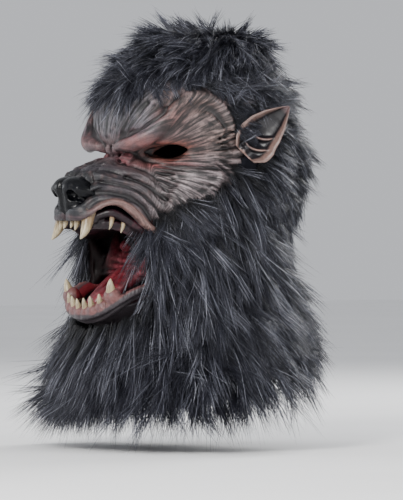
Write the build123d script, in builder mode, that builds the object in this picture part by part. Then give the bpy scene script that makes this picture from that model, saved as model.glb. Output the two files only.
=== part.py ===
"""Over-the-head werewolf mask: latex face and jaw, cast teeth, and a hood and bib of long-pile fur.

Millimetres. The origin is on the underside of the crown pad, where the top of the wearer's head
comes to rest. +Z is up, the face looks along -Y and the wearer's left is +X.
"""

import os
from math import cos, radians, sin

from build123d import *

os.makedirs("parts", exist_ok=True)

# Hood: (height, half width, half depth, middle in Y) of each elliptical section.
CAVITY = [
    (4, 30, 38, 0),
    (-6, 50, 62, 0),
    (-25, 66, 84, 0),
    (-60, 77, 97, 0),
    (-115, 80, 100, 0),
    (-170, 79, 97, 0),
    (-220, 77, 90, 0),
    (-270, 86, 90, -2),
    (-320, 112, 104, -16),
    (-360, 136, 114, -36),
    (-412, 144, 119, -46),
]
HOOD = [
    (27, 30, 38, -8),
    (16, 62, 78, -7),
    (-8, 84, 106, -6),
    (-45, 96, 119, -6),
    (-110, 100, 118, -1),
    (-170, 98, 113, 0),
    (-220, 94, 105, 0),
    (-270, 104, 108, 0),
    (-320, 128, 118, -18),
    (-360, 150, 128, -38),
    (-405, 158, 132, -48),
]
# Brow: the sections of the face's upper half, which stands forward of the wearer's forehead.
BROW = [
    (-53, 82, 116, -5),
    (-70, 83, 122, -5),
    (-90, 82, 125, -4),
    (-101, 77, 120, -4),
    (-108, 68, 106, -4),
]
LATEX = 4  # wall of the cast face and jaw
SEAM = 1  # gap between neighbouring fur panels
WIDE = 400  # longer than the mask in every direction

# Heights of the panel edges.
CROWN_EDGE = -52
MOUTH_CORNER = -206
CHEEK_HEM = -199
NAPE_HEM = -300
SHOULDER_HEM = -375
BIB_TOP = -330
BIB_HEM = -402

# Depths (Y) of the panel edges.
FACE_EDGE = -37
CHEEK_EDGE = -60
SHOULDER_BACK = 60
BIB_BACK = -76

# Muzzle: (distance forward of the head's middle, half width, half height) of each section.
LIP_LINE = -181
MUZZLE = [
    (66, 69, 86),
    (100, 62, 78),
    (126, 56, 67),
    (148, 47, 54),
    (165, 39, 45),
    (178, 31, 38),
    (187, 24, 33),
]
NOSE_HALF_WIDTH = 22
NOSE_TOP = -142
NOSE_BOTTOM = -174
NOSE_SEAT = 170
# Nose: (distance forward, share of its full width and height) of each section.
NOSE = [(NOSE_SEAT, 0.94), (177, 0.99), (184, 0.93), (189, 0.72), (193, 0.35)]

# Eye holes and brow ridges.
EYE_ACROSS = 41
EYE_HEIGHT = -115
EYE_HALF_WIDTH = 19
EYE_HALF_HEIGHT = 10
EYE_TILT = 8
RIDGE_INNER = (16, -117, -101)
RIDGE_OUTER = (58, -92, -72)
RIDGE_RADIUS = 12

# Jaw: a trough whose rim lies in a plane that falls towards the chin.
JAW_TILT = 25
JAW_MIDDLE = (0, -112, -254)
JAW_DEPTH = 30
JAW_FLOOR = 5
JAW_OUTLINE = [(56, 34), (55, -8), (44, -40), (0, -54)]
KEEL_SHARE = 0.84

# Beard.
BEARD_DEPTH = 13
JOWL_INSIDE = 59
JOWL_OUTSIDE = 74
JOWL_SIDE = [(-70, -224), (-76, -298), (-104, -300), (-120, -276), (-118, -240), (-100, -224)]

# Palate, gums and teeth.
PALATE_BOTTOM = -187
PALATE_TOP = -175
PALATE_OUTLINE = [(40, -104), (40, -138), (31, -162), (0, -182)]
VAULT_OUTLINE = [(27, -103), (26, -135), (18, -153), (0, -165)]
VAULT_DEPTH = 10
GUM_HEIGHT = 11
GUM_RECESS = 2
GUM_RING = 12
CANINE_ROOT = 7
INCISOR_ROOT = 5

# Ear: a pointed leaf, hollowed from the side it faces.
EAR_ROOT = (84, -14, -126)
EAR_TIP = (112, 30, -66)
EAR_FACING = (0.74, -0.67, 0)
EAR_HALF_WIDTH = 21
EAR_DEPTH = 14
EAR_WALL = 4
EAR_CLEAR = 1

# Padding.
PAD = 7
BROW_PAD_TOP = -58
BROW_PAD_BOTTOM = -84
CHIN_CUP_HALF_WIDTH = 25


def save(body, name):
    """Labels a finished piece and writes it to its own file."""
    body.part.label = name
    export_step(body.part, f"parts/{name}.step")


def save_pair(body, name):
    """Writes a piece of the left side and its mirror image."""
    save(body, f"left_{name}")
    with BuildPart() as right:
        mirror(body.part, about=Plane.YZ)
    save(right, f"right_{name}")


def hood_loft(stations, grow=0.0):
    """A closed body through the elliptical stations, each grown sideways by the same amount."""
    with BuildPart() as body:
        for height, half_width, half_depth, middle in stations:
            with BuildSketch(Plane.XY.offset(height)):
                with Locations((0, middle)):
                    Ellipse(half_width + grow, half_depth + grow)
        loft()
    return body.part


def muzzle_loft(grow=0.0):
    """The muzzle's body, whose sections are centred on the lip line."""
    with BuildPart() as body:
        for forward, half_width, half_height in MUZZLE:
            with BuildSketch(Plane.XZ.offset(forward + grow)):
                with Locations((0, LIP_LINE)):
                    Ellipse(half_width + grow, half_height + grow)
        loft()
    return body.part


def whole_outline(half, grow=0.0):
    """The curve through half an outline and its mirror image, grown sideways and forwards."""
    right = [(x + grow, y) if x else (0, y - grow) for x, y in half]
    return right + [(-x, y) for x, y in reversed(right[:-1])]


def outline_loft(plane, levels):
    """A body through U-shaped outlines, one for each (height, half outline, growth)."""
    with BuildPart() as body:
        for height, outline, grow in levels:
            curve = whole_outline(outline, grow)
            with BuildSketch(plane.offset(height)):
                with BuildLine():
                    edge = Spline(*curve)
                    Line(edge @ 1, edge @ 0)
                make_face()
        loft()
    return body.part


def box_between(low, high, mode=Mode.ADD):
    """A box from its lowest corner to its highest one."""
    middle = tuple((a + b) / 2 for a, b in zip(low, high))
    with Locations(middle):
        Box(*(b - a for a, b in zip(low, high)), mode=mode)


def cone(base, tip, base_radius, tip_radius):
    """A tooth: a straight cone from its root to its point."""
    start, end = Vector(*base), Vector(*tip)
    lay = Plane(origin=start, z_dir=end - start)
    with BuildPart() as body:
        with BuildSketch(lay):
            Circle(base_radius)
        with BuildSketch(lay.offset((end - start).length)):
            Circle(tip_radius)
        loft()
    return body.part


# --- Shared bodies ------------------------------------------------------------------------

cavity = hood_loft(CAVITY)
hood = hood_loft(HOOD) - cavity
jaw_plane = Plane(
    origin=JAW_MIDDLE,
    x_dir=(1, 0, 0),
    z_dir=(0, -sin(radians(JAW_TILT)), cos(radians(JAW_TILT))),
)


def jaw_outline(height):
    """Half the jaw's outer outline at a height above its rim plane."""
    share = 1 + (1 - KEEL_SHARE) * height / JAW_DEPTH
    back = JAW_OUTLINE[0][1]
    return [(x * share, back + (y - back) * share) for x, y in JAW_OUTLINE]



ear_along = (Vector(*EAR_TIP) - Vector(*EAR_ROOT)).normalized()
ear_facing = Vector(*EAR_FACING) - ear_along * Vector(*EAR_FACING).dot(ear_along)
ear_plane = Plane(origin=EAR_ROOT, x_dir=ear_along, z_dir=ear_facing.normalized())
EAR_LENGTH = (Vector(*EAR_TIP) - Vector(*EAR_ROOT)).length


def ear_leaf(grow, height):
    """The ear's outline, from its root to its point, grown all round."""
    with BuildSketch(ear_plane.offset(height)) as leaf:
        with BuildLine():
            lower = Spline(
                (-grow, 0),
                (EAR_LENGTH * 0.12, -EAR_HALF_WIDTH * 0.7 - grow),
                (EAR_LENGTH * 0.42, -EAR_HALF_WIDTH - grow),
                (EAR_LENGTH * 0.78, -EAR_HALF_WIDTH * 0.45 - grow),
                (EAR_LENGTH + grow, 0),
            )
            mirror(lower, about=Plane.XZ)
        make_face()
    return leaf.sketch


# --- Fur panels of the hood ---------------------------------------------------------------


def fur_panel(spans, ear=False):
    """The part of the hood inside any of the spans, each from a low corner to a high one."""
    with BuildPart() as panel:
        for low, high in spans:
            box_between(low, high)
        add(hood, mode=Mode.INTERSECT)
        if ear:
            extrude(ear_leaf(EAR_CLEAR, -EAR_CLEAR), amount=45, mode=Mode.SUBTRACT)
    return panel


BELOW_CROWN = CROWN_EDGE - SEAM
crown_fur = fur_panel([((-WIDE, -WIDE, CROWN_EDGE), (WIDE, WIDE, WIDE))])
save(crown_fur, "crown_fur")

back_fur = fur_panel(
    [((SEAM / 2, SEAM / 2, NAPE_HEM), (WIDE, WIDE, BELOW_CROWN))], ear=True
)
save_pair(back_fur, "back_fur")

cheek_fur = fur_panel(
    [
        ((SEAM, FACE_EDGE + SEAM, MOUTH_CORNER), (WIDE, -SEAM / 2, BELOW_CROWN)),
        ((SEAM, CHEEK_EDGE, NAPE_HEM), (WIDE, -SEAM / 2, MOUTH_CORNER - SEAM)),
        ((SEAM, FACE_EDGE + SEAM, NAPE_HEM), (WIDE, -SEAM / 2, MOUTH_CORNER)),
    ],
    ear=True,
)
save_pair(cheek_fur, "cheek_fur")

shoulder_fur = fur_panel(
    [((SEAM, BIB_BACK + SEAM, SHOULDER_HEM), (WIDE, SHOULDER_BACK, NAPE_HEM - SEAM))]
)
save_pair(shoulder_fur, "shoulder_fur")

front_bib_fur = fur_panel([((-WIDE, -WIDE, BIB_HEM), (WIDE, BIB_BACK, BIB_TOP))])
save(front_bib_fur, "front_bib_fur")

# --- Latex face ---------------------------------------------------------------------------

with BuildPart() as upper_muzzle:
    add(muzzle_loft())
    box_between((-WIDE, -WIDE, LIP_LINE), (WIDE, WIDE, WIDE), Mode.INTERSECT)

with BuildPart() as ridges:
    for side in (1, -1):
        inner = Vector(RIDGE_INNER[0] * side, *RIDGE_INNER[1:])
        outer = Vector(RIDGE_OUTER[0] * side, *RIDGE_OUTER[1:])
        with BuildSketch(Plane(origin=inner, z_dir=outer - inner)):
            Circle(RIDGE_RADIUS)
        extrude(amount=(outer - inner).length)
        with Locations(inner, outer):
            Sphere(RIDGE_RADIUS)

brow_hollow = [(height + LATEX, *rest) for height, *rest in BROW]
with BuildPart() as face_shell:
    add(hood_loft(CAVITY, LATEX))
    box_between((-WIDE, -WIDE, MOUTH_CORNER), (WIDE, FACE_EDGE, BELOW_CROWN), Mode.INTERSECT)
    with BuildPart(mode=Mode.PRIVATE) as brow:
        add(hood_loft(BROW))
        box_between((-WIDE, -WIDE, -WIDE), (WIDE, FACE_EDGE, WIDE), Mode.INTERSECT)
    add(brow.part)
    add(ridges.part)
    add(upper_muzzle.part)
    add(hood_loft(brow_hollow, -LATEX), mode=Mode.SUBTRACT)
    add(muzzle_loft(-LATEX), mode=Mode.SUBTRACT)
    add(cavity, mode=Mode.SUBTRACT)
    box_between((-WIDE, -WIDE, -WIDE), (WIDE, CHEEK_EDGE, CHEEK_HEM), Mode.SUBTRACT)
    box_between(
        (-NOSE_HALF_WIDTH, -WIDE, NOSE_BOTTOM),
        (NOSE_HALF_WIDTH, -NOSE_SEAT, NOSE_TOP),
        Mode.SUBTRACT,
    )
    for side in (1, -1):
        with BuildSketch(Plane.XZ.offset(30)):
            with Locations((EYE_ACROSS * side, EYE_HEIGHT)):
                Ellipse(EYE_HALF_WIDTH, EYE_HALF_HEIGHT, rotation=EYE_TILT * side)
        extrude(amount=120, mode=Mode.SUBTRACT)
save(face_shell, "face_shell")

with BuildPart() as nose:
    for forward, share in NOSE:
        with BuildSketch(Plane.XZ.offset(forward)):
            with Locations((0, (NOSE_TOP + NOSE_BOTTOM) / 2)):
                Ellipse(NOSE_HALF_WIDTH * share, (NOSE_TOP - NOSE_BOTTOM) / 2 * share)
    loft()
save(nose, "nose")

with BuildPart() as ear:
    extrude(ear_leaf(0, 0), amount=EAR_DEPTH)
    extrude(ear_leaf(-EAR_WALL, EAR_WALL), amount=EAR_DEPTH, mode=Mode.SUBTRACT)
save_pair(ear, "ear")

# --- Upper mouth --------------------------------------------------------------------------

with BuildPart() as upper_canine:
    add(cone((21.5, -169.5, PALATE_BOTTOM + CANINE_ROOT), (27, -184, -206), 5, 0.8))

with BuildPart() as upper_incisors:
    for across, forward, tip in ((-12, -175, -195), (-4, -178, -196), (4, -178, -196), (12, -175, -195)):
        root = (across, forward, PALATE_BOTTOM + INCISOR_ROOT)
        add(cone(root, (across, forward - 2, tip), 3.6, 1))
    box_between((-13, -178, PALATE_BOTTOM + 1), (13, -174, PALATE_BOTTOM + INCISOR_ROOT))

with BuildPart() as upper_premolars:
    for across, forward in ((33, -148), (36, -135), (37.5, -121)):
        root = (across - 4, forward, PALATE_BOTTOM + INCISOR_ROOT)
        add(cone(root, (across - 3, forward, -197), 3.8, 0.9))
    box_between((30.5, -147, PALATE_BOTTOM + 1), (33, -122, PALATE_BOTTOM + INCISOR_ROOT))

upper_teeth = [upper_canine.part, upper_incisors.part, upper_premolars.part]
upper_teeth += [mirror(tooth, about=Plane.YZ) for tooth in (upper_canine.part, upper_premolars.part)]

with BuildPart() as palate:
    add(
        outline_loft(
            Plane.XY,
            [(PALATE_BOTTOM, PALATE_OUTLINE, -0.5), (PALATE_TOP, PALATE_OUTLINE, -1.5)],
        )
    )
    add(
        outline_loft(
            Plane.XY,
            [
                (PALATE_BOTTOM - 1, VAULT_OUTLINE, 0),
                (PALATE_BOTTOM + VAULT_DEPTH, VAULT_OUTLINE, -4),
            ],
        ),
        mode=Mode.SUBTRACT,
    )
    for tooth in upper_teeth:
        add(tooth, mode=Mode.SUBTRACT)
save(palate, "palate")
save_pair(upper_canine, "upper_canine")
save(upper_incisors, "upper_incisors")
save_pair(upper_premolars, "upper_premolars")

# --- Lower jaw ----------------------------------------------------------------------------

with BuildPart() as jaw_shell:
    add(outline_loft(jaw_plane, [(-JAW_DEPTH, jaw_outline(-JAW_DEPTH), 0), (0, JAW_OUTLINE, 0)]))
    add(
        outline_loft(
            jaw_plane,
            [
                (JAW_FLOOR - JAW_DEPTH, jaw_outline(JAW_FLOOR - JAW_DEPTH), -LATEX),
                (0, JAW_OUTLINE, -LATEX),
            ],
        ),
        mode=Mode.SUBTRACT,
    )
save(jaw_shell, "jaw_shell")


def in_jaw(across, along, height):
    """A point of the jaw, from its distances across, along and above the rim plane."""
    return tuple(jaw_plane.from_local_coords(Vector(across, along, height)))


gum_bottom = -GUM_RECESS - GUM_HEIGHT
with BuildPart() as lower_canine:
    add(cone(in_jaw(34, -31, gum_bottom + 5), in_jaw(36, -36, 26), 4.8, 0.8))

with BuildPart() as lower_incisors:
    for across, along in ((-18, -38.5), (-6, -41), (6, -41), (18, -38.5)):
        add(cone(in_jaw(across, along, gum_bottom + 5), in_jaw(across, along - 1, 8), 4.2, 1))
    add(cone(in_jaw(-17, -39.5, gum_bottom + 7), in_jaw(17, -39.5, gum_bottom + 7), 2, 2))

with BuildPart() as lower_gum:
    add(
        outline_loft(
            jaw_plane,
            [
                (gum_bottom, jaw_outline(gum_bottom), -LATEX - 0.5),
                (-GUM_RECESS, jaw_outline(-GUM_RECESS), -LATEX - 0.5),
            ],
        )
    )
    add(
        outline_loft(
            jaw_plane,
            [
                (gum_bottom - 1, jaw_outline(gum_bottom - 1), -LATEX - GUM_RING),
                (1 - GUM_RECESS, jaw_outline(1 - GUM_RECESS), -LATEX - GUM_RING),
            ],
        ),
        mode=Mode.SUBTRACT,
    )
    for tooth in (lower_canine.part, mirror(lower_canine.part, about=Plane.YZ), lower_incisors.part):
        add(tooth, mode=Mode.SUBTRACT)
save(lower_gum, "lower_gum")
save_pair(lower_canine, "lower_canine")
save(lower_incisors, "lower_incisors")

with BuildPart() as tongue:
    for along, half_width, half_height, lift in (
        (17, 17, 8, -9),
        (0, 19, 8, -10),
        (-18, 15, 6, -11),
        (-27, 8, 3, -11),
    ):
        plane = Plane(origin=in_jaw(0, along, lift), x_dir=(1, 0, 0), z_dir=-jaw_plane.y_dir)
        with BuildSketch(plane):
            Ellipse(half_width, half_height)
    loft()
save(tongue, "tongue")

with BuildPart() as chin_cup:
    low = in_jaw(0, 27, JAW_FLOOR - JAW_DEPTH + 10)
    with Locations(Location(low, (JAW_TILT, 0, 0))):
        Box(2 * CHIN_CUP_HALF_WIDTH, 12, 18)
    with Locations(in_jaw(0, 44, 2)):
        Sphere(26, mode=Mode.SUBTRACT)
save(chin_cup, "chin_cup")

with BuildPart() as chin_fur:
    add(
        outline_loft(
            jaw_plane,
            [
                (-JAW_DEPTH - BEARD_DEPTH, jaw_outline(-JAW_DEPTH), -10),
                (-JAW_DEPTH - 0.5, jaw_outline(-JAW_DEPTH), -2),
            ],
        )
    )
save(chin_fur, "chin_fur")

with BuildPart() as jowl_fur:
    with BuildSketch(Plane.YZ.offset(JOWL_INSIDE)):
        with BuildLine():
            Polyline(*JOWL_SIDE, close=True)
        make_face()
    extrude(amount=JOWL_OUTSIDE - JOWL_INSIDE)
    fillet(jowl_fur.faces().sort_by(Axis.X)[-1].edges(), 4)
save_pair(jowl_fur, "jowl_fur")

# --- Padding ------------------------------------------------------------------------------

with BuildPart() as crown_pad:
    add(cavity)
    box_between((-WIDE, -WIDE, 0), (WIDE, WIDE, WIDE), Mode.INTERSECT)
save(crown_pad, "crown_pad")

with BuildPart() as brow_pad:
    add(cavity)
    add(hood_loft(CAVITY, -PAD), mode=Mode.SUBTRACT)
    box_between((-62, -WIDE, BROW_PAD_BOTTOM), (62, -50, BROW_PAD_TOP), Mode.INTERSECT)
save(brow_pad, "brow_pad")

with BuildPart() as nape_pad:
    add(cavity)
    add(hood_loft(CAVITY, -PAD), mode=Mode.SUBTRACT)
    box_between((-40, 50, -150), (40, WIDE, -110), Mode.INTERSECT)
save(nape_pad, "nape_pad")
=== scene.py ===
"""Werewolf mask: the looks. All sculpting is in millimetres and is scaled to metres as each mesh is made."""

import math

import bpy
import numpy as np
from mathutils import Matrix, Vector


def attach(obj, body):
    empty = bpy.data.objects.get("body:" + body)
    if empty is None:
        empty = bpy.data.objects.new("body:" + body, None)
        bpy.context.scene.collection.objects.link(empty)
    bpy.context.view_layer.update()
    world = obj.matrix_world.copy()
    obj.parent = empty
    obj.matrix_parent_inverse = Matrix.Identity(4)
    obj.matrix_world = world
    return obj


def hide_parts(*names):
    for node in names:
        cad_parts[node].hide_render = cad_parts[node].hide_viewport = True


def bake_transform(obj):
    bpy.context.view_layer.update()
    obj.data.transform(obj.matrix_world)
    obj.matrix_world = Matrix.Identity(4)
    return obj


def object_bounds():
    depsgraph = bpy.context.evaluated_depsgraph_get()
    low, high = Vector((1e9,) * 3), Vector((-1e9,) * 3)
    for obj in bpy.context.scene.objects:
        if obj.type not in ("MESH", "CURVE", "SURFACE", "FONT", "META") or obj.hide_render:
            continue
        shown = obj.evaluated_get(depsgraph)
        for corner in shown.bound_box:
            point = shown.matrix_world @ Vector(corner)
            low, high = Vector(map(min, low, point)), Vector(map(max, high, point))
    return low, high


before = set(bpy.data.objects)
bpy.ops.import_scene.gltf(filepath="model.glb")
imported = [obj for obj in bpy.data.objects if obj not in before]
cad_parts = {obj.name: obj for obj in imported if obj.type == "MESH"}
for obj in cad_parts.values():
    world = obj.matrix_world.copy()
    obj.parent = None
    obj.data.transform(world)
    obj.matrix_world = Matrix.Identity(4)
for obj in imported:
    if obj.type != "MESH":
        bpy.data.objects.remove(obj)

import openvdb
from mathutils import Vector
from mathutils.kdtree import KDTree

cad_low, cad_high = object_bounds()
MM = 0.001
F = np.float32


# --- Camera, lights and floor -------------------------------------------------------------

def look(location, target):
    return (Vector(target) - Vector(location)).to_track_quat("-Z", "Y").to_euler()


AZIMUTH, ELEVATION, DISTANCE = math.radians(52), math.radians(0.5), 5.0
AIM = Vector((-0.0023, -0.0029, -0.214))
toward = Vector((
    math.sin(AZIMUTH) * math.cos(ELEVATION),
    -math.cos(AZIMUTH) * math.cos(ELEVATION),
    math.sin(ELEVATION),
))
camera = bpy.data.objects.new("camera", bpy.data.cameras.new("camera"))
bpy.context.collection.objects.link(camera)
camera.location = AIM + toward * DISTANCE
camera.rotation_euler = look(camera.location, AIM)
camera.data.lens = 36 * DISTANCE / 0.525
bpy.context.scene.camera = camera

world = bpy.data.worlds.new("studio")
bpy.context.scene.world = world
world.use_nodes = True
world.node_tree.nodes["Background"].inputs["Color"].default_value = (0.93, 0.95, 1.0, 1)
world.node_tree.nodes["Background"].inputs["Strength"].default_value = 0.66


def area_light(name, location, target, size, power, colour=(1, 1, 1)):
    data = bpy.data.lights.new(name, "AREA")
    data.shape = "DISK"
    data.size = size
    data.energy = power
    data.color = colour
    lamp = bpy.data.objects.new(name, data)
    bpy.context.collection.objects.link(lamp)
    lamp.location = location
    lamp.rotation_euler = look(location, target)


area_light("key", (1.1, -1.9, 0.9), (0, -0.05, -0.17), 0.8, 62, (1, 0.985, 0.96))
area_light("fill", (-1.7, -1.3, 0.3), (0, -0.05, -0.2), 1.1, 16, (0.95, 0.97, 1))
area_light("rim", (-0.6, 1.7, 0.9), (0, 0, -0.15), 0.8, 34)
area_light("side", (2.0, 0.6, 0.4), (0, 0, -0.2), 0.9, 14)


# --- Node helpers ------------------------------------------------------------------------

def rgb(red, green, blue):
    """An sRGB colour, 0 to 255, as linear values."""
    def linear(c):
        c /= 255
        return c / 12.92 if c <= 0.04045 else ((c + 0.055) / 1.055) ** 2.4
    return np.array([linear(red), linear(green), linear(blue)])


class Shader:
    """A Principled material with short calls for the nodes it is built from."""

    def __init__(self, name, roughness=0.5, specular=0.5, coat=0.0, coat_roughness=0.1):
        self.material = bpy.data.materials.new(name)
        self.material.use_nodes = True
        self.tree = self.material.node_tree
        self.surface = self.tree.nodes["Principled BSDF"]
        self.surface.inputs["Roughness"].default_value = roughness
        self.surface.inputs["Specular IOR Level"].default_value = specular
        self.surface.inputs["Coat Weight"].default_value = coat
        self.surface.inputs["Coat Roughness"].default_value = coat_roughness

    def node(self, kind, **settings):
        made = self.tree.nodes.new(kind)
        for key, value in settings.items():
            setattr(made, key, value)
        return made

    def feed(self, socket, value):
        if isinstance(value, bpy.types.NodeSocket):
            self.tree.links.new(value, socket)
        elif isinstance(value, (int, float)):
            socket.default_value = value
        else:
            value = tuple(float(v) for v in value)
            socket.default_value = (*value, 1) if len(value) == 3 and socket.type == "RGBA" else value

    def place(self, scale=(1, 1, 1)):
        """Position on the object in metres, stretched."""
        source = self.node("ShaderNodeTexCoord")
        stretch = self.node("ShaderNodeMapping")
        self.feed(stretch.inputs["Vector"], source.outputs["Object"])
        self.feed(stretch.inputs["Scale"], scale)
        return stretch.outputs["Vector"]

    def painted(self, name, part="Color"):
        return self.node("ShaderNodeAttribute", attribute_name=name).outputs[part]

    def noise(self, scale, vector=None, detail=3, rough=0.55, warp=0.0):
        made = self.node("ShaderNodeTexNoise")
        self.feed(made.inputs["Vector"], self.place() if vector is None else vector)
        for key, value in (("Scale", scale), ("Detail", detail), ("Roughness", rough), ("Distortion", warp)):
            self.feed(made.inputs[key], value)
        return made.outputs["Fac"]

    def cells(self, scale):
        made = self.node("ShaderNodeTexVoronoi", feature="F1")
        self.feed(made.inputs["Vector"], self.place())
        self.feed(made.inputs["Scale"], scale)
        return made.outputs["Distance"]

    def ramp(self, value, *stops):
        made = self.node("ShaderNodeValToRGB")
        elements = made.color_ramp.elements
        while len(elements) < len(stops):
            elements.new(0.5)
        for element, (place, colour) in zip(elements, stops):
            element.position = place
            shade = (colour,) * 3 if isinstance(colour, (int, float)) else colour
            element.color = (*[float(c) for c in shade], 1)
        self.feed(made.inputs["Fac"], value)
        return made.outputs["Color"]

    def mix(self, share, first, second, how="MIX"):
        made = self.node("ShaderNodeMix", data_type="RGBA", blend_type=how)
        self.feed(made.inputs["Factor"], share)
        self.feed(made.inputs["A"], first)
        self.feed(made.inputs["B"], second)
        return made.outputs["Result"]

    def sum(self, first, second, how="ADD"):
        made = self.node("ShaderNodeMath", operation=how)
        self.feed(made.inputs[0], first)
        self.feed(made.inputs[1], second)
        return made.outputs["Value"]

    def colour(self, value):
        self.feed(self.surface.inputs["Base Color"], value)

    def bump(self, height, strength=0.5, distance=0.001):
        made = self.node("ShaderNodeBump")
        self.feed(made.inputs["Height"], height)
        self.feed(made.inputs["Strength"], strength)
        self.feed(made.inputs["Distance"], distance)
        self.feed(self.surface.inputs["Normal"], made.outputs["Normal"])


# --- Mesh helpers --------------------------------------------------------------------------

def mesh_object(name, points, faces, material, layers=None):
    """A mesh from points in millimetres and rows of faces of one size, or a list of such arrays."""
    groups = faces if isinstance(faces, list) else [faces]
    mesh = bpy.data.meshes.new(name)
    mesh.vertices.add(len(points))
    mesh.vertices.foreach_set("co", (np.asarray(points) * MM).astype(F).ravel())
    corners = np.concatenate([g.ravel() for g in groups]).astype(np.int32)
    mesh.loops.add(len(corners))
    mesh.loops.foreach_set("vertex_index", corners)
    sizes = np.concatenate([np.full(len(g), g.shape[1]) for g in groups])
    mesh.polygons.add(len(sizes))
    mesh.polygons.foreach_set("loop_start", (np.cumsum(sizes) - sizes).astype(np.int32))
    mesh.polygons.foreach_set("use_smooth", np.ones(len(sizes), bool))
    for layer, values in (layers or {}).items():
        values = np.asarray(values, F)
        if values.ndim == 1:
            mesh.attributes.new(layer, "FLOAT", "POINT").data.foreach_set("value", values)
        elif layer.startswith("flow"):
            mesh.attributes.new(layer, "FLOAT_VECTOR", "POINT").data.foreach_set("vector", values.ravel())
        else:
            full = np.concatenate([values, np.ones((len(values), 1), F)], axis=1)
            mesh.attributes.new(layer, "FLOAT_COLOR", "POINT").data.foreach_set("color", full.ravel())
    mesh.update()
    mesh.validate()
    mesh.materials.append(material.material)
    made = bpy.data.objects.new(name, mesh)
    bpy.context.collection.objects.link(made)
    return made


def keep_faces(points, faces, wanted):
    """Only the wanted faces, with the points they use."""
    faces = faces[wanted]
    used = np.zeros(len(points), bool)
    used[faces.ravel()] = True
    index = np.cumsum(used) - 1
    return points[used], index[faces]


def smoothstep(low, high, value):
    t = np.clip((value - low) / (high - low), 0, 1)
    return t * t * (3 - 2 * t)


def curve_points(points, steps=4):
    """A smooth line through rows of any length, by Catmull-Rom."""
    p = np.asarray(points, float)
    p = np.vstack([2 * p[0] - p[1], p, 2 * p[-1] - p[-2]])
    out = []
    for a, b, c, d in zip(p, p[1:], p[2:], p[3:]):
        for t in np.arange(steps) / steps:
            out.append(0.5 * (2 * b + (c - a) * t + (2 * a - 5 * b + 4 * c - d) * t**2
                              + (3 * b - a - 3 * c + d) * t**3))
    out.append(p[-2])
    return np.array(out)


def surface_noise(points, scale, seed):
    """Smooth noise in -1 to 1 from a few summed waves."""
    random = np.random.default_rng(seed)
    total = np.zeros(len(points))
    for _ in range(7):
        wave = random.normal(size=3)
        wave *= 2 * np.pi / scale / np.linalg.norm(wave) * random.uniform(0.6, 1.5)
        total += np.sin(points @ wave + random.uniform(0, 2 * np.pi))
    return total / 3.5


# --- Clay: sculpting with signed distances -------------------------------------------------

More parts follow.
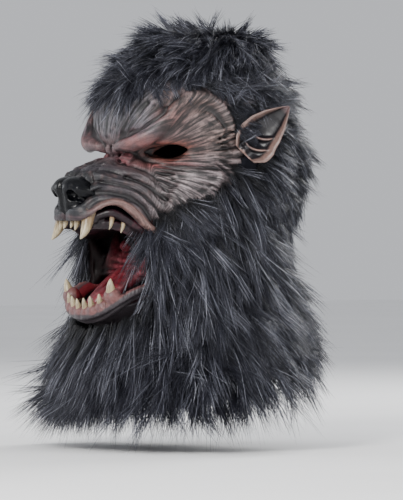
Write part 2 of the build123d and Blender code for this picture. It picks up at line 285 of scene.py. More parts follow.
class Clay:
    """A signed distance in millimetres on a grid. Strokes act on both sides at once."""

    def __init__(self, low, high, step):
        self.low, self.step = np.array(low, float), step
        self.count = np.ceil((np.array(high) - self.low) / step).astype(int) + 1
        self.axes = [F(l + step * np.arange(n)) for l, n in zip(low, self.count)]
        self.field = np.full(self.count, 20, F)
        self.both = self.low[0] == 0

    def window(self, low, high):
        cut = []
        for axis in range(3):
            first = int((low[axis] - self.low[axis]) / self.step)
            last = int((high[axis] - self.low[axis]) / self.step) + 2
            cut.append(slice(max(first, 0), min(max(last, 1), self.count[axis])))
        x, y, z = (a[c] for a, c in zip(self.axes, cut))
        return tuple(cut), x[:, None, None], y[None, :, None], z[None, None, :]

    def add(self, cut, distance, blend):
        a = self.field[cut]
        h = np.maximum(blend - np.abs(a - distance), 0) / blend
        self.field[cut] = np.minimum(a, distance) - h * h * blend * F(0.25)

    def carve(self, cut, distance, blend):
        a = self.field[cut]
        h = np.maximum(blend - np.abs(a + distance), 0) / blend
        self.field[cut] = np.maximum(a, -distance) + h * h * blend * F(0.25)

    def ball(self, centre, radii, blend=4, turn=0, carve=False):
        """An ellipsoid, turned about Z, in degrees."""
        reach = max(radii) + blend + 2
        cut, x, y, z = self.window([c - reach for c in centre], [c + reach for c in centre])
        x, y, w = x - centre[0], y - centre[1], z - centre[2]
        c, s = math.cos(math.radians(turn)), math.sin(math.radians(turn))
        u, v = x * c + y * s, y * c - x * s
        near = np.sqrt((u / radii[0])**2 + (v / radii[1])**2 + (w / radii[2])**2) + F(1e-6)
        steep = np.sqrt((u / radii[0]**2)**2 + (v / radii[1]**2)**2 + (w / radii[2]**2)**2) + F(1e-6)
        (self.carve if carve else self.add)(cut, near * (near - 1) / steep, blend)

    def line_distance(self, points, reach, skip=None):
        """The window round a line, and each cell's distance from it less the line's radius."""
        points = curve_points(points)
        low, high = points[:, :3].min(0) - reach, points[:, :3].max(0) + reach
        if skip is not None:
            low[skip], high[skip] = -1e3, 1e3
            if skip == 0:
                low[0] = 0
        cut, x, y, z = self.window(low, high)
        best = None
        for a, b in zip(points, points[1:]):
            ab = (b - a)[:3].copy()
            if skip is not None:
                ab[skip] = 0
            size = max(float(ab @ ab), 1e-6)
            px, py, pz = x - F(a[0]), y - F(a[1]), z - F(a[2])
            if skip == 0:
                px = 0 * px
            if skip == 1:
                py = 0 * py
            t = np.clip((px * F(ab[0]) + py * F(ab[1]) + pz * F(ab[2])) / F(size), 0, 1)
            d = np.sqrt((px - t * F(ab[0]))**2 + (py - t * F(ab[1]))**2 + (pz - t * F(ab[2]))**2)
            if points.shape[1] > 3:
                d = d - (F(a[3]) + F(b[3] - a[3]) * t)
            best = d if best is None else np.minimum(best, d)
        return cut, best, (x, y, z)

    def roll(self, points, blend=4, carve=False):
        """A tube through rows of x, y, z and radius."""
        reach = max(p[3] for p in points) + blend + 2
        cut, distance, _ = self.line_distance(points, reach)
        (self.carve if carve else self.add)(cut, distance, blend)

    def stroke(self, points, width, height, skip=None, where=None):
        """A soft ridge of this height along a line, or a groove where the height is negative. With skip,
        the line is drawn from the side (0) or the front (1) and reaches through."""
        cut, distance, place = self.line_distance(points, width * 2.6, skip)
        shape = np.exp(-(distance / F(width))**2) * F(height)
        if where is not None:
            shape = shape * where(*place)
        self.field[cut] -= shape

    def mesh(self):
        field = self.field
        low = self.low.copy()
        if self.both:
            field = np.concatenate([field[:0:-1], field])
            low[0] = -self.axes[0][-1]
        grid = openvdb.FloatGrid()
        grid.background = 20.0
        grid.copyFromArray(np.ascontiguousarray(field))
        points, quads = grid.convertToQuads(isovalue=0.0)
        return points.astype(float) * self.step + low, quads.astype(int)


def point_normals(points, quads):
    a, b, c, d = (points[quads[:, i]] for i in range(4))
    face = np.cross(c - a, d - b)
    normal = np.zeros_like(points)
    for i in range(4):
        np.add.at(normal, quads[:, i], face)
    return normal / (np.linalg.norm(normal, axis=1, keepdims=True) + 1e-9)


def bulge(points, quads, normals, rounds=2):
    """How far each point stands out from its neighbours, averaged a few times: above 0 on ridges."""
    edges = np.concatenate([quads[:, [i, (i + 1) % 4]] for i in range(4)])
    count = np.bincount(edges[:, 0], minlength=len(points))[:, None] + 1e-9

    def average(values):
        total = np.zeros_like(values)
        np.add.at(total, edges[:, 0], values[edges[:, 1]])
        return total / count

    soft = points
    for _ in range(rounds):
        soft = average(soft)
    out = ((points - soft) * normals).sum(1)[:, None]
    return average(average(out))[:, 0]


# --- Latex face: the sculpt ----------------------------------------------------------------

def rows(table):
    """Values that change along the first column, read by column number."""
    table = np.array(sorted(table), float)
    return lambda at, column: np.interp(at, table[:, 0], table[:, column]).astype(F)


# Height, half width, half depth and middle in Y of the wearer-hugging part of the face.
HEAD = rows([
    (-215, 78, 92, 0), (-190, 81, 96, 0), (-165, 83, 99, -1), (-140, 84, 101, -2), (-124, 83, 102, -2),
    (-114, 83, 106, -3), (-105, 83, 119, -4), (-95, 84, 126, -4), (-80, 85, 125, -4), (-60, 84, 119, -5),
    (-50, 79, 111, -7), (-36, 68, 96, -8),
])
# Distance forward, half width, and height of the top of the muzzle.
MUZZLE = rows([
    (60, 70, -112), (90, 63, -112), (112, 58, -113), (123, 56, -113), (134, 53, -117), (145, 48, -122),
    (157, 42, -130), (163, 38, -135), (168, 34, -140), (173, 29, -146), (178, 23, -153), (182, 16, -160),
    (185, 9, -168),
])
MUZZLE_MIDDLE = -178
# Lower edge of the upper lip, from the middle of the front to the corner of the mouth.
LIP = [
    (0, -182, -180), (11, -182, -182), (20, -179, -183), (28, -172, -178), (35, -164, -171), (42, -155, -167),
    (48, -145, -169), (53, -134, -178), (56.5, -123, -189), (59, -111, -198),
]
# Middle of the eye hole, and the way its long side runs.
EYE = np.array((46.5, -81, -111.5))
EYE_LONG = np.array((0.656, 0.754, -0.03))
RIDGE = [
    (6, -119, -113, 5), (15, -123, -107, 7.5), (29, -125, -104, 9.5), (43, -118, -100, 10),
    (53, -108, -91, 9.5),
    (60, -98, -80, 9), (65, -88, -68, 8.5), (70, -76, -58, 7.5),
    (76, -62, -56, 6.5), (81, -48, -62, 5.5), (84, -37, -75, 5), (85, -30, -90, 4),
]
FOLD_A = [(55, -178, -158), (55, -171, -151), (55, -160, -147), (55, -147, -148), (55, -132, -153),
          (55, -121, -163), (55, -112, -177), (55, -106, -190)]
FOLD_B = [(55, -158, -137), (55, -143, -141), (55, -127, -146), (55, -112, -158), (55, -102, -171),
    (55, -96, -184)]
FOLD_C = [(60, -134, -132), (60, -118, -137), (60, -101, -148), (60, -90, -162), (60, -84, -176)]


def face_clay(step):
    clay = Clay((0, -200, -214), (94, 10, -38), step)
    x, y, z = (a.reshape(s) for a, s in zip(clay.axes, ((-1, 1, 1), (1, -1, 1), (1, 1, -1))))
    everything = (slice(None),) * 3
    w, d, m = (HEAD(z, i) for i in (1, 2, 3))
    r = ((x / w)**2.35 + (np.abs(y - m) / d)**2.35)**(1 / 2.35) + F(1e-6)
    clay.add(everything, np.sqrt(x**2 + (y - m)**2) * (1 - 1 / r), 1)
    w, top = MUZZLE(-y, 1), MUZZLE(-y, 2)
    up = np.maximum(z - MUZZLE_MIDDLE, 0)
    r = np.sqrt((x / w)**2 + (up / (top - MUZZLE_MIDDLE))**2) + F(1e-6)
    distance = np.sqrt(x**2 + up**2) * (1 - 1 / r)
    clay.add(everything, np.maximum(distance, -y - 184), 9)

    # Big forms: cheekbones, jaw muscle, brow shelf.
    clay.ball((64, -62, -138), (15, 30, 15), 12, turn=-55)
    clay.ball((70, -40, -118), (13, 34, 9), 10)
    clay.ball((66, -72, -168), (12, 30, 26), 12)
    clay.ball((0, -112, -96), (30, 18, 16), 8)
    clay.ball((14, -150, -140), (14, 22, 14), 10)
    clay.roll(RIDGE, 5)
    clay.stroke([(a * 0.98 + 1, b, c + 12) for a, b, c, _ in RIDGE[1:8]], 3.2, -2.2, 1,
                lambda x, y, z: smoothstep(-76, -90, y))
    # Sockets under the ridges.
    clay.ball((44, -98, -113), (27, 14, 10), 5, turn=49, carve=True)
    clay.ball((22, -122, -118), (9, 9, 8), 6, turn=49, carve=True)
    # Flesh by the inner corner, lower lid bag, outer canthus folds.
    clay.ball((15, -113, -119), (7, 8, 6.5), 3)
    clay.roll([(25, -104, -111, 2.5), (33, -98, -105, 3.4), (44, -88, -103, 3.6), (55, -75, -105, 3.2),
               (62, -65, -111, 2.5)], 2)
    clay.roll([(25, -104, -114, 2.5), (33, -96, -120, 3.4), (44, -85, -122, 3.8), (55, -73, -119, 3.4),
               (62, -65, -112, 2.5)], 2)
    clay.roll([(19, -114, -124, 3.5), (32, -103, -130, 5), (46, -89, -131, 5.5), (58, -75, -126, 5),
               (67, -62, -117, 3.5)], 2.5)
    clay.roll([(17, -121, -130, 3), (30, -110, -138, 4), (46, -97, -140, 4.5), (61, -79, -135, 4),
               (73, -58, -124, 3)], 3)
    for line in (
        [(50, -102, -99, 3), (60, -90, -85, 4), (70, -74, -75, 4.5), (78, -57, -76, 4), (83, -42, -90, 3)],
        [(52, -96, -103, 3), (62, -82, -93, 4), (71, -67, -86, 4.5), (79, -51, -89, 4), (83, -38, -101, 3)],
        [(56, -86, -105, 3), (66, -72, -99, 4), (74, -58, -96, 4), (80, -44, -101, 3.5), (83, -32, -110, 3)],
    ):
        clay.roll(line, 1.6)

    clay.form = clay.field.copy()
    # Snarl folds round the upper lip.
    side = lambda x, y, z: smoothstep(12, 24, x)
    for line, width, height in (
        (FOLD_A, 4.0, 5.0), (FOLD_B, 4.6, 5.2), (FOLD_C, 5.0, 4.0),
    ):
        clay.stroke(line, width, height, 0, side)
        clay.stroke([(a, b - 1, c - 7.5) for a, b, c in line], 2.2, -4.6, 0, side)
    for line, shifts in ((FOLD_A, (-14, -10.5, -3.5, 3)), (FOLD_B, (-3.5, 3.2, 7)),
        (FOLD_C, (-4, 3.5, 8, 12))):
        for shift in shifts:
            clay.stroke([(a, b - 0.35 * shift, c + shift + 1.2 * math.sin(b / 6 + shift))
                         for a, b, c in line],
                        1.6, -2.1, 0, side)
    # Cheek: long strands raked back and down from the muzzle.
    for i in range(15):
        angle = math.radians(4 + 4.6 * i)
        wave = 2.2 * math.sin(i * 2.3)
        start, end = 26 + 3 * (i % 3), 78 - 1.2 * i
        line = [(60, -128 + t * math.cos(angle), -124 - t * math.sin(angle) + wave * math.sin(t / 17))
                for t in np.linspace(start, end, 5)]
        clay.stroke(line, 1.9, -2.4, 0, lambda x, y, z: smoothstep(40, 52, x) * smoothstep(-122, -104, y))
    # Crow's feet and temple.
    for rise, bend in ((16, 5), (9, 3), (2, 1), (-6, -2), (-13, -5), (-20, -8)):
        line = [(75, -58, -112 + 0.35 * rise), (75, -42, -111 + 0.75 * rise + bend * 0.3),
                (75, -24, -110 + rise + bend), (75, -8, -108 + 1.1 * rise + bend)]
        clay.stroke(line, 1.9, -3.2, 0, lambda x, y, z: smoothstep(55, 66, x) * smoothstep(-61, -36, y))
    # Forehead: hair-like grooves fanning up from between the brows.
    for i in range(12):
        spread = (i + 0.3) / 11.5
        angle = math.radians(4 + 52 * spread)
        foot = (3 + 34 * spread, -104 + 8 * spread)
        wave = 1.6 * math.sin(i * 1.9)
        line = [(foot[0] + t * math.sin(angle) * 0.8 + wave * math.sin(t / 9), -110,
                 foot[1] + t * math.cos(angle))
                for t in np.linspace(0, 52 - 10 * spread, 5)]
        clay.stroke(line, 2.1, -2.7, 1, lambda x, y, z: smoothstep(-86, -98, y))
    # The knot between the brows and the snarl creases down the bridge.
    clay.stroke([(0, -110, -98), (0, -110, -120)], 2.4, -5.0, 1, lambda x, y, z: smoothstep(-100, -110, y))
    clay.stroke([(7, -110, -92), (9.5, -110, -108), (7.5, -110, -124)], 2.1, -5.5, 1,
                lambda x, y, z: smoothstep(-100, -110, y))
    for x0, x1, z0, z1, deep in ((5, 6, -116, -140, 3.6), (11, 15, -122, -143, 4.0),
        (17, 23, -127, -146, 3.6)):
        clay.stroke([(x0, -130, z0), (0.5 * (x0 + x1) + 1.5, -130, 0.5 * (z0 + z1)),
            (x1, -130, z1)], 2.0, -deep,
                    1, lambda x, y, z: smoothstep(-108, -120, y))
    for z0, deep in ((-117, 3.0), (-124, 2.8), (-131.5, 2.4)):
        clay.stroke([(-4, -130, z0), (3, -130, z0 - 1), (8, -130, z0 - 4)], 1.9, -deep, 1,
                    lambda x, y, z: smoothstep(-112, -122, y))
    clay.field = np.minimum(clay.field, clay.form + F(3.4))
    # Whisker pad in front, philtrum, and the thick lip rim.
    clay.ball((13, -174, -174), (11, 10, 10), 5)
    clay.roll([(a, b + 2.0, c + 2.6, 3.7) for a, b, c in LIP], 2.5)
    clay.stroke([(0, -190, -160), (0, -190, -190)], 1.8, -4.0, 1, lambda x, y, z: smoothstep(-165, -172, y))
    return clay, (x, y, z)


def face_shell(step):
    """The sculpt as a thin latex wall, open at the mouth, the eyes and the back."""
    clay, (x, y, z) = face_clay(step)
    outside = clay.field
    shell = np.maximum(outside, -(np.minimum(clay.form, outside) + F(6.0)))
    # Mouth: everything below the lip line, which is drawn from the side.
    line = curve_points(LIP)
    forward = -line[:, 1]
    order = np.argsort(forward)
    lip = np.interp(-y, forward[order], line[order, 2], left=-230, right=-183).astype(F)
    lip = np.where(-y < 111, -199 - (111 + y) * F(0.9), lip)
    shell = np.maximum(shell, lip - z)
    clay.field = shell
    # Eye hole: an almond through the wall.
    facing = np.cross(EYE_LONG, (0, 0, 1))
    facing /= np.linalg.norm(facing)
    u = (x - F(EYE[0])) * F(EYE_LONG[0]) + (y - F(EYE[1])) * F(EYE_LONG[1])
    v = z - F(EYE[2]) - u * F(0.10)
    half = F(6.8) * (1 - (u / F(18.5))**2)
    almond = np.abs(v) - half
    almond = np.maximum(almond, np.abs(u) - 18.5)
    clay.carve((slice(None),) * 3, almond, 2.0)
    # Seat of the nose.
    seat = np.sqrt((x / 26)**2 + ((y + 180) / 21)**2 + ((z + 153) / 19)**2)
    clay.carve((slice(None),) * 3, ((seat - 1) * 19).astype(F), 2.0)
    # Back edge, hidden under the fur.
    clay.field = np.maximum(clay.field, y - 2)
    return clay


def paint_face(points, normals, ridge):
    """Colours brushed on by region, with a dark wash and painted shade in the creases and a pale drybrush and
    painted highlight on the ridges.
    """
    x, y, z = np.abs(points[:, 0]), points[:, 1], points[:, 2]

    def spot(cy, cz, ry, rz, cx=None, rx=1.0):
        d = ((y - cy) / ry)**2 + ((z - cz) / rz)**2
        if cx is not None:
            d = d + ((x - cx) / rx)**2
        return np.exp(-d)[:, None]

    colour = np.tile(rgb(106, 96, 98), (len(points), 1))

    def lay(shade, amount):
        nonlocal colour
        colour = colour * (1 - np.clip(amount, 0, 1)) + shade * np.clip(amount, 0, 1)

    blotch = surface_noise(points, 26, 3)[:, None]
    mottle = surface_noise(points, 9, 4)[:, None]
    lay(rgb(160, 147, 149), spot(-64, -148, 32, 22) * 1.0)
    lay(rgb(132, 110, 104), spot(-45, -98, 36, 20) * 0.9)
    lay(rgb(124, 99, 92), spot(-66, -64, 28, 14, 70, 24) * 0.9)
    lay(rgb(92, 90, 98), smoothstep(-96, -112, y)[:, None] * smoothstep(-104, -92, z)[:, None] * 0.9)
    lay(rgb(78, 70, 74), smoothstep(-104, -126, y)[:, None] * smoothstep(-98, -112, z)[:, None] * 0.9)
    lay(rgb(52, 48, 54), smoothstep(-126, -150, y)[:, None] * 0.88)
    lay(rgb(20, 21, 28), smoothstep(-155, -168, y)[:, None] * 0.97)
    # Painted shade in the eye socket.
    lay(rgb(48, 34, 38), spot(-97, -113, 26, 13, 38, 26) * 0.75)
    lay(rgb(122, 62, 60), spot(-114, -101, 24, 9, 38, 26) * (0.95 + 0.3 * mottle))
    lay(rgb(126, 78, 70), spot(-94, -76, 18, 16, 62, 14) * 0.8)
    lay(rgb(150, 78, 78), spot(-88, -125, 30, 6, 46, 30) * 0.85)
    lay(rgb(140, 84, 84), spot(-80, -103, 26, 4, 50, 30) * 0.6)
    lay(rgb(160, 74, 80), spot(-115, -119, 9, 8, 15, 8) * 0.95)
    lay(colour * 0.72, np.maximum(blotch, 0) * 0.5)
    lay(rgb(150, 118, 112), np.maximum(mottle, 0) * 0.16)
    # Painted shade in the hollow under the brow ridge.
    brow_hollow_shade = spot(-88, -95, 24, 9, 56, 26)
    lay(rgb(84, 62, 64), brow_hollow_shade * 0.6)
    lay(rgb(60, 46, 50), spot(-70, -131, 40, 4, 52, 40) * 0.45)
    along = (x - EYE[0]) * EYE_LONG[0] + (y - EYE[1]) * EYE_LONG[1]
    rise = z - EYE[2] - along * 0.10
    ring = np.sqrt((along / 19.5)**2 + (rise / 7.8)**2)[:, None]
    lay(rgb(86, 44, 34), np.exp(-(ring / 1.75)**4) * (y < -40)[:, None] * 0.8)
    lay(rgb(112, 56, 44), np.exp(-((ring - 1.05) / 0.25)**2) * (y < -40)[:, None] * 0.6)
    lay(rgb(104, 72, 80), spot(-118, -124, 15, 15, 8, 13) * 0.6)
    # Lip rim: flesh pink, rosier at the front.
    line = curve_points(LIP, 8)
    tree = KDTree(len(line))
    for i, p in enumerate(line):
        tree.insert(p + np.array((0, 2, 2.5)), i)
    tree.balance()
    near = np.full(len(points), 99.0)
    close = np.where((z < -150) & (y < -95))[0]
    for i in close:
        near[i] = tree.find((x[i], y[i], z[i]))[2]
    rim = smoothstep(5.6, 3.9, near)[:, None] * (1 - 0.70 * smoothstep(-164, -178, y)[:, None])
    rosy = smoothstep(-160, -182, y)[:, None]
    lay(rgb(126, 96, 90) * (1 - rosy) + rgb(92, 56, 62) * rosy, rim * 0.9)
    # Dark wash and painted shade in the creases, pale drybrush and painted highlight on the ridges.
    dark = np.clip(-ridge * 2.3, 0, 1)[:, None]
    drybrush_and_highlight = np.clip(ridge * 0.8, 0, 1)[:, None]
    lay(rgb(17, 15, 20), dark * 0.88)
    lay(np.minimum(colour * 1.45 + 0.015, 0.7), drybrush_and_highlight * 0.55)
    # The inside of the cast is bare dark latex.
    inward = (normals * (points - np.array((0, -20, -130)))).sum(1) < 0
    deep = inward & (y > -110) & (near > 8)
    colour[deep] = rgb(40, 36, 36)
    return np.clip(colour, 0, 1)


def latex(name, roughness=0.52, coat=0.12, fine=1.0):
    shade = Shader(name, roughness=roughness, specular=0.42, coat=coat, coat_roughness=0.35)
    base = shade.painted("paint")
    streak_a = shade.noise(1.0, shade.painted("flow_side", "Vector"), 4, 0.62)
    streak_b = shade.noise(1.0, shade.painted("flow_front", "Vector"), 4, 0.62)
    streaks = shade.mix(shade.painted("frontal", "Fac"), streak_a, streak_b)
    lines = shade.ramp(streaks, (0.42, 0.05), (0.51, 0.38), (0.60, 0.92), (0.78, 1.25))
    amount = shade.painted("hairy", "Fac")
    colour = shade.mix(amount, base, shade.mix(1.0, base, lines, "MULTIPLY"))
    grain = shade.noise(420, detail=4, rough=0.6)
    grained = shade.mix(1.0, colour, shade.ramp(grain, (0.3, 0.55), (0.7, 1.4)), "MULTIPLY")
    colour = shade.mix(0.55 * fine, colour, grained)
    shade.colour(colour)
    pores = shade.cells(900)
    height = shade.sum(shade.sum(pores, 0.35, "MULTIPLY"), shade.sum(grain, 0.7, "MULTIPLY"))
    height = shade.sum(height, shade.sum(streaks, 1.1, "MULTIPLY"))
    shade.bump(height, 0.55, 0.0009)
    return shade


def flows(points):
    """Coordinates that run along and across the brush strokes, for fine painted hair."""
    x, y, z = np.abs(points[:, 0]), points[:, 1], points[:, 2]
    ry, rz = y + 130, z + 122
    angle, away = np.arctan2(rz, ry), np.hypot(ry, rz)
    line = curve_points(FOLD_A)[:, 1:]
    gap = np.min([np.hypot(y - py, z - pz) for py, pz in line], axis=0)
    near_lip = smoothstep(-98, -116, y)
    across = angle * 26 * (1 - near_lip) + gap * 0.55 * near_lip
    side = np.stack([across, away * 0.045, points[:, 0] * 0.01], 1)
    fx, fz = x - 1, z + 128
    angle, away = np.arctan2(fx, fz), np.hypot(fx, fz)
    front = np.stack([angle * 24 + 7, away * 0.035, points[:, 0] * 0.01], 1)
    frontal = smoothstep(-88, -104, y) * smoothstep(-112, -100, z)
    hairy = np.maximum(
        0.55 + 0.40 * smoothstep(-118, -96, y),
        frontal * 0.95,
    )
    hairy = hairy * (1 - 0.6 * np.exp(-((y + 112) / 22)**2 - ((z + 101) / 8)**2))
    return {"flow_side": side, "flow_front": front, "frontal": frontal, "hairy": hairy * 0.9 + 0.1}


STEP = 1.48
clay = face_shell(STEP)
points, quads = clay.mesh()
normals = point_normals(points, quads)
ridge = bulge(points, quads, normals) + 0.7 * bulge(points, quads, normals, 8)
skin = latex("face_latex")
face = mesh_object("latex_face", points, quads, skin,
                   layers={"paint": paint_face(points, normals, ridge), **flows(points)})
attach(face, "hood")
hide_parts("face_shell")
skin_points, skin_normals = points, normals


# --- Nose --------------------------------------------------------------------------------

def nose_clay(step):
    clay = Clay((0, -192, -190), (32, -148, -134), step)
    clay.ball((0, -168, -155), (22, 18, 17), 4)
    clay.ball((12, -172, -152), (13, 14, 13), 7)
    clay.ball((6, -179, -149), (11, 10, 9), 7)
    clay.ball((4, -177, -168), (8, 8, 11), 6)
    clay.ball((10, -174, -174), (11, 9, 7), 5)
    clay.ball((14.0, -185, -157), (5.8, 9.0, 5.6), 3, turn=22, carve=True)
    clay.roll([(16, -180, -158, 3.0), (21, -172, -162, 2.8), (25, -163, -162, 2.2)], 3, carve=True)
    clay.roll([(20, -181, -150, 3.4), (24, -172, -152, 3.6), (25, -165, -156, 2.6)], 4)
    clay.roll([(0, -188, -146, 1.4), (0, -188, -160, 1.6), (0, -186, -182, 1.8)], 4, carve=True)
    return clay


nose_points, nose_quads = nose_clay(0.75).mesh()
nose_shade = Shader("nose_gloss", roughness=0.34, specular=0.12, coat=0.22, coat_roughness=0.16)
pebbles = nose_shade.cells(520)
patches = nose_shade.noise(70, detail=3)
tint = nose_shade.ramp(patches, (0.3, rgb(4, 5, 8)), (0.55, rgb(7, 8, 13)), (0.8, rgb(16, 17, 24)))
nose_shade.colour(nose_shade.mix(1.0, tint, nose_shade.ramp(pebbles, (0.1, 1.25), (0.6, 0.6)), "MULTIPLY"))
nose_shade.bump(nose_shade.sum(1.0, pebbles, "SUBTRACT"), 0.5, 0.0007)
nose = mesh_object("nose_leather", nose_points, nose_quads, nose_shade)
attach(nose, "hood")
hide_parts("nose")


# --- Mouth -------------------------------------------------------------------------------

def flesh(name, low, middle, high, scale=60, roughness=0.28, coat=0.5, specular=0.5):
    """Wet painted latex: blotched, veined and glossy."""
    shade = Shader(name, roughness=roughness, specular=specular, coat=coat, coat_roughness=0.15)
    patches = shade.noise(scale, detail=5, rough=0.62, warp=0.6)
    tone = shade.ramp(patches, (0.30, low), (0.5, middle), (0.72, high))
    veins = shade.noise(260, detail=3, rough=0.7)
    tone = shade.mix(1.0, tone, shade.ramp(veins, (0.32, 0.5), (0.5, 1.0), (0.7, 1.3)), "MULTIPLY")
    paint = shade.painted("paint")
    shade.colour(shade.mix(1.0, tone, paint, "MULTIPLY"))
    shade.bump(shade.sum(patches, veins), 0.5, 0.0010)
    return shade


def relief_shading(points, quads, strength=1.5, lift=0.8):
    """Grey levels from the relief: painted shade in the folds and painted highlight on the ridges."""
    normals = point_normals(points, quads)
    relief = bulge(points, quads, normals)
    level = np.clip(0.85 + np.where(relief < 0, strength, lift) * relief, 0.12, 1.7)
    return np.repeat(level[:, None], 3, axis=1)


def palate_clay(step):
    clay = Clay((0, -184, -206), (58, -44, -168), step)
    x, y, z = (a.reshape(s) for a, s in zip(clay.axes, ((-1, 1, 1), (1, -1, 1), (1, 1, -1))))
    width = np.interp(-y, (50, 95, 112, 134, 150, 163, 171, 176), (45, 50, 50, 43, 36, 27, 17, 5)).astype(F)
    arch = -177 - 0.9 * np.maximum(x / width, 0)**2 * 12 - 10 * smoothstep(-150, -120, y)
    solid = np.maximum(np.maximum(arch - z - 5, z - arch - 4), (x - width) * F(0.8))
    solid = np.maximum(np.maximum(-176 - y, y + 46), solid)
    clay.field = solid.astype(F) + F(0) * (x + y + z)
    for i, place in enumerate((-170, -160, -150, -140, -130, -120)):
        clay.roll([(0, place - 3, -180 - 1.6 * i, 1.8), (12, place - 1, -182 - 1.6 * i, 2),
                   (28 + 2 * i, place + 6, -184 - 1.6 * i, 1.4)], 3)
    clay.roll([(0, -172, -182, 4.5), (12, -171, -183, 5), (21, -167, -182, 5), (29, -158, -177, 4.5),
               (37, -149, -175, 4.5), (43, -136, -182, 4.5), (48, -122, -192, 4.5), (50, -108, -199, 4)], 3)
    return clay


# Real teeth stand in the gum, so each is given by its root, its tip and its width.
UPPER_TEETH = [
    ("upper_canine", (21.5, -168.5, -174), (24.5, -181, -202), 7.6, 0.18),
    ("upper_inner", (5.5, -175, -178), (6, -180, -191), 3.9, 0.1),
    ("upper_middle", (12.5, -175, -178), (13.5, -180, -193), 4.2, 0.12),
    ("upper_premolar", (36, -149, -177), (37.5, -154, -192), 3.0, 0.15),
    ("upper_molar", (40.5, -137, -180), (41.5, -142, -195), 3.2, 0.12),
]
LOWER_TEETH = [
    ("lower_canine", (34, -146, -267), (38.0, -153, -243), 7.5, -0.12),
    ("lower_inner", (5, -156, -282), (5.5, -163.5, -263), 5.0, -0.08),
    ("lower_middle", (14.5, -155, -280), (15.5, -162.5, -261), 5.3, -0.1),
    ("lower_outer", (24.5, -152, -276), (26.5, -159, -258), 5.3, -0.1),
]


def tooth(root, tip, radius, hook, sides=14, rings=16, seed=0):
    """A curved cone, a little flattened, with a rounded point and a swelling where it leaves the gum."""
    root, tip = np.array(root, float), np.array(tip, float)
    axis = tip - root
    length = np.linalg.norm(axis)
    axis /= length
    side = np.cross(axis, (0, 1, 0.2))
    side /= np.linalg.norm(side)
    front = np.cross(side, axis)
    random = np.random.default_rng(seed)
    points, along = [], []
    for i in range(rings):
        t = i / (rings - 1)
        thick = radius * (1 - t**1.6)**0.66 * (1 - 0.10 * math.sin(3.1 * t))
        thick *= 1 + 0.10 * math.exp(-(t / 0.12)**2)
        thick = max(thick, radius * 0.10)
        bow = front * hook * length * 4 * t * (1 - t) * 0.5
        middle = root + axis * length * t + bow
        for j in range(sides):
            angle = 2 * math.pi * j / sides
            wobble = 1 + 0.05 * math.sin(3 * angle + 4 * t) + 0.02 * random.normal()
            spoke = math.cos(angle) * side * 0.92 + math.sin(angle) * front * 1.08
            points.append(middle + thick * wobble * spoke)
            along.append(t)
    points.append(tip + axis * radius * 0.06)
    along.append(1.0)
    quads, caps = [], []
    for i in range(rings - 1):
        for j in range(sides):
            a, b = i * sides + j, i * sides + (j + 1) % sides
            quads.append((b, a, a + sides, b + sides))
    last = (rings - 1) * sides
    for j in range(sides):
        caps.append((last + (j + 1) % sides, last + j, len(points) - 1))
    return np.array(points), np.array(quads), np.array(caps), np.array(along)


ivory = Shader("ivory_teeth", roughness=0.34, specular=0.4, coat=0.2, coat_roughness=0.2)
stain = ivory.noise(90, detail=4, rough=0.65, warp=0.5)
ivory_tone = ivory.ramp(stain, (0.32, rgb(94, 76, 54)), (0.5, rgb(152, 136, 106)), (0.7, rgb(190, 177, 148)))
root_tone = ivory.ramp(ivory.painted("along", "Fac"), (0.0, rgb(70, 34, 30)), (0.24, rgb(98, 66, 42)),
                       (0.55, rgb(154, 138, 108)), (1.0, rgb(192, 180, 152)))
cracks = ivory.noise(1.0, ivory.place((700, 700, 60)), 4, 0.7)
crack_tone = ivory.ramp(cracks, (0.32, 0.35), (0.5, 1.0), (0.7, 1.1))
ivory.colour(ivory.mix(0.8, ivory.mix(0.62, ivory_tone, root_tone), crack_tone, "MULTIPLY"))
ivory.bump(ivory.noise(1.0, ivory.place((900, 900, 90)), 3, 0.6), 0.35, 0.0006)


def teeth(rows, body):
    for number, (name, root, tip, radius, hook) in enumerate(rows):
        for side in (1, -1):
            shift = 0.6 * math.sin(7.0 * number + side)
            flip = np.array((side, 1, 1))
            points, quads, caps, along = tooth(
                np.array(root) * flip + (0, 0, shift * 0.4), np.array(tip) * flip + (shift * 0.5, 0, shift),
                radius, hook, seed=number)
            made = mesh_object(("left_" if side > 0 else "right_") + name + "_tooth", points,
                               [quads, caps], ivory,
                               layers={"along": along})
            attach(made, body)
            yield made


upper = list(teeth(UPPER_TEETH, "hood"))
lower = list(teeth(LOWER_TEETH, "jaw"))
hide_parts("left_upper_canine")
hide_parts("right_upper_canine")
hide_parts("upper_incisors")
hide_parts("left_upper_premolars")
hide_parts("right_upper_premolars")
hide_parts("left_lower_canine")
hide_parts("right_lower_canine")
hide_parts("lower_incisors")

palate_flesh = flesh("palate_latex", rgb(10, 5, 9), rgb(30, 13, 20), rgb(74, 36, 44), roughness=0.42,
                     coat=0.12, specular=0.3)
palate_points, palate_quads = palate_clay(1.2).mesh()
# Its paint layer is painted shade in the folds and painted highlight on the ridges.
palate = mesh_object("mouth_roof", palate_points, palate_quads, palate_flesh,
                     layers={"paint": relief_shading(palate_points, palate_quads)})
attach(palate, "hood")
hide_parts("palate")


# Height of the jaw's rim and half width of its outline, going forward.
RIM = rows([
    (48, -238, 55), (70, -239, 57), (90, -242, 58), (105, -245, 58.5), (118, -248.5, 58), (128, -252, 56),
    (137, -256, 52.5), (145, -262, 47.5), (152, -268.5, 40), (157, -274, 31), (160, -278, 20),
    (161.5, -280, 8),
    (162, -280.5, 0),
])


